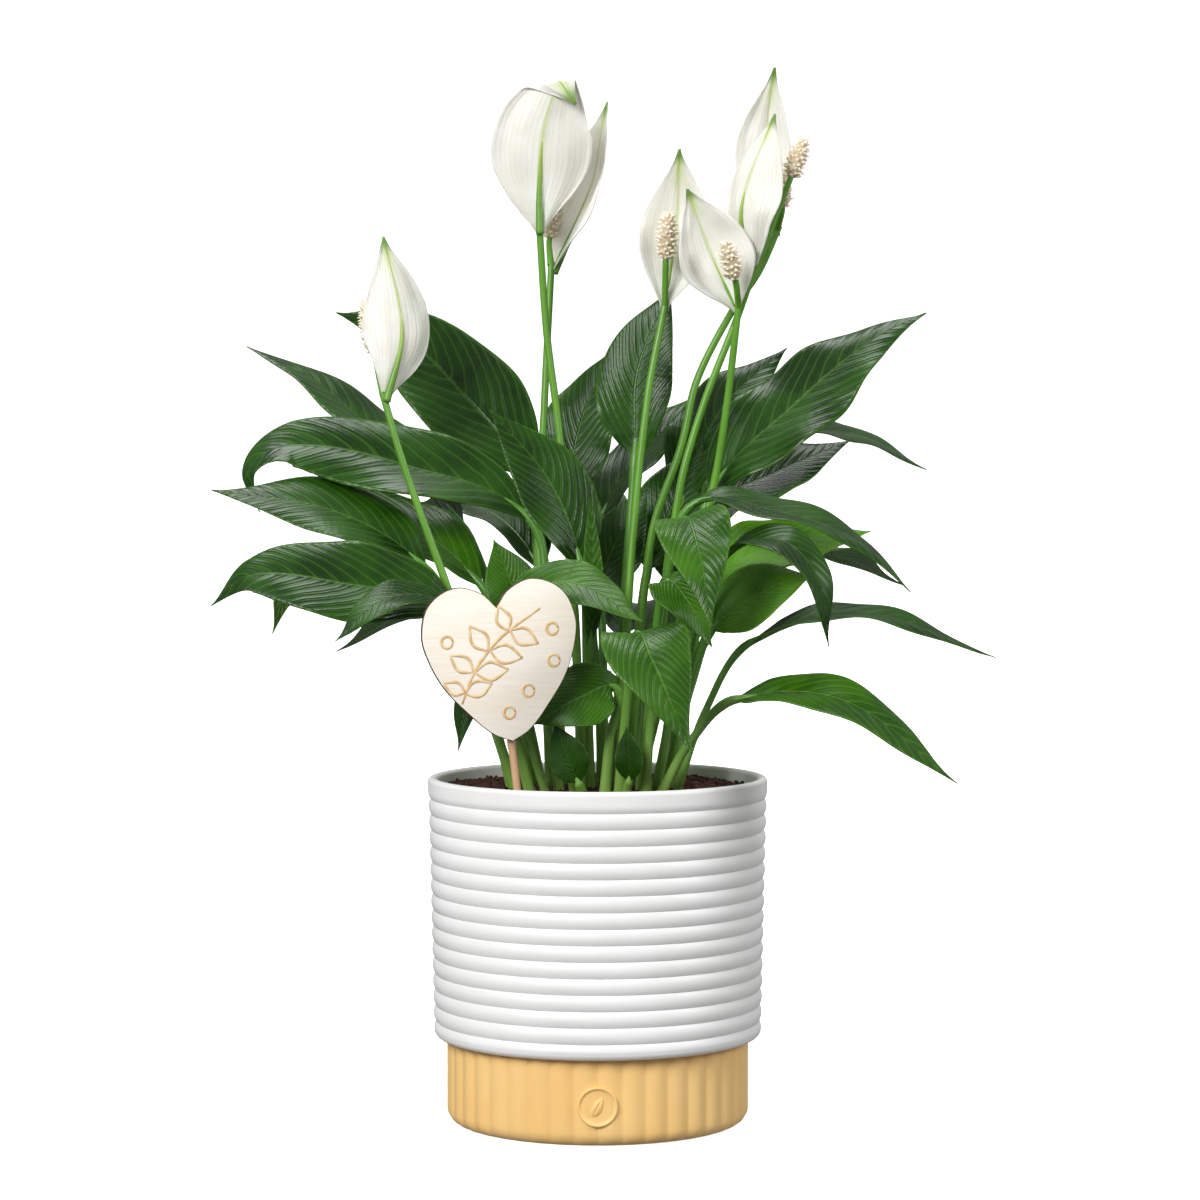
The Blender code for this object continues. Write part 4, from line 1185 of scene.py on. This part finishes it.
def flower(name, foot, stem, rib, width, face_low, face_high, wrap, first, last):
    above = Vector((0, 0, SOIL_TOP))
    low, high = Vector(face_low), Vector(face_high)
    stalk = Route([Vector(spot) + above for spot in [(*foot, -2), *stem]])

    def stalk_section(share):
        radius = FLOWER_STALK_RADIUS * (1.2 - 0.42 * share ** 0.5)
        return low, radius, radius, 0

    bm = bmesh.new()
    tube(bm, stalk, 80, 16, stalk_section)
    bmesh.ops.scale(bm, vec=(MM, MM, MM), verts=bm.verts)
    piece(name + "_stem", bm, [FLOWER_STALK], [name + "_stalk"], sharp=60)

    top, along = stalk.at(stalk.total)
    inward = (low - along * low.dot(along)).normalized()
    heel = top - along * 4.0
    route = Route([heel] + [Vector(spot) + above for spot in rib])
    own = random.Random(name)
    phases = (own.uniform(0, math.tau), own.uniform(0, math.tau), own.uniform(1.4, 2.4))
    folded = name == "flower_tallest"

    def keel_section(share):
        radius = FLOWER_STALK_RADIUS * 0.72 * max(0.0, 1 - share / 0.5) ** 0.75
        radius += 0.42 - 0.28 * share
        return low.lerp(high, share), radius, radius, radius * 0.75 + 0.45

    bm = bmesh.new()
    blade(
        bm, route, 0.0, SPATHE_OUTLINE, width, (low, high), SPATHE_COLUMNS, SPATHE_ROWS,
        SPATHE_THICKNESS, petal_section(wrap, phases, 0.35),
        lambda half, across, share, length: (across * 0.5 + 0.5, share),
        tip_folded if folded else None)
    keel_verts = tube(bm, route, 60, 10, keel_section, 2)
    if folded:
        bm.normal_update()
        tip_folded(keel_verts)
    bmesh.ops.scale(bm, vec=(MM, MM, MM), verts=bm.verts)
    petal_finishes = [PETAL_INSIDE, PETAL_OUTSIDE, KEEL]
    piece(name + "_petal", bm, petal_finishes, [name + "_spathe"])

    neck = top - along * 1.5 + inward * 0.6
    stipe = Route([neck, Vector(first) + above, Vector(last) + above])
    cob_start = stipe.length_to(1)
    cob_length = stipe.total - cob_start

    def stipe_section(share):
        radius = 1.35 if share * stipe.total < cob_start else 0.9
        return low, radius, radius, 0

    def cob_section(share):
        radius = SPADIX_RADIUS * smooth_share(SPADIX_OUTLINE, share)
        return low, radius, radius, 0

    bm = bmesh.new()
    tube(bm, stipe, 24, 12, stipe_section, 1)
    cob = Route([stipe.at(cob_start + cob_length * share)[0] for share in (0, 0.5, 1)])
    layer = bm.loops.layers.uv.verify()
    for vert in tube(bm, cob, 24, 14, cob_section):
        for loop in vert.link_loops:
            loop[layer].uv = (0.5, 0.12)
    count = int(cob_length * math.tau * SPADIX_RADIUS / FLORET_SPACING ** 2)
    for number in range(count):
        share = (number + 0.5) / count
        here, heading = cob.at(cob.total * share)
        up = (low - heading * low.dot(heading)).normalized()
        turn = number * GOLDEN_TURN
        outward = up * math.cos(turn) + up.cross(heading) * math.sin(turn)
        forward = own.uniform(-0.1, 0.35) + max(0.0, share - 0.8) * 5
        outward = (outward + heading * forward).normalized()
        radius = SPADIX_RADIUS * smooth_share(SPADIX_OUTLINE, share)
        reach = own.uniform(1.5, 2.5)
        frame_of = outward.to_track_quat("Z", "Y").to_matrix().to_4x4()
        middle = radius - FLORET_SINK + reach / 2
        seat = Matrix.Translation(here + outward * middle) @ frame_of
        size = FLORET_SPACING * own.uniform(0.42, 0.56)
        made = bmesh.ops.create_cone(
            bm, cap_ends=True, segments=5, radius1=size, radius2=size * 0.2,
            depth=reach, matrix=seat)["verts"]
        for vert in made:
            tipped = (vert.co - here).dot(outward) > middle
            for loop in vert.link_loops:
                loop[layer].uv = (0.5, 1.0 if tipped else 0.2)
    bmesh.ops.scale(bm, vec=(MM, MM, MM), verts=bm.verts)
    piece(name + "_cob", bm, [SPADIX, FLOWER_STALK], [name + "_spadix"], sharp=75)


for name, values in FLOWERS.items():
    flower(name, *values)
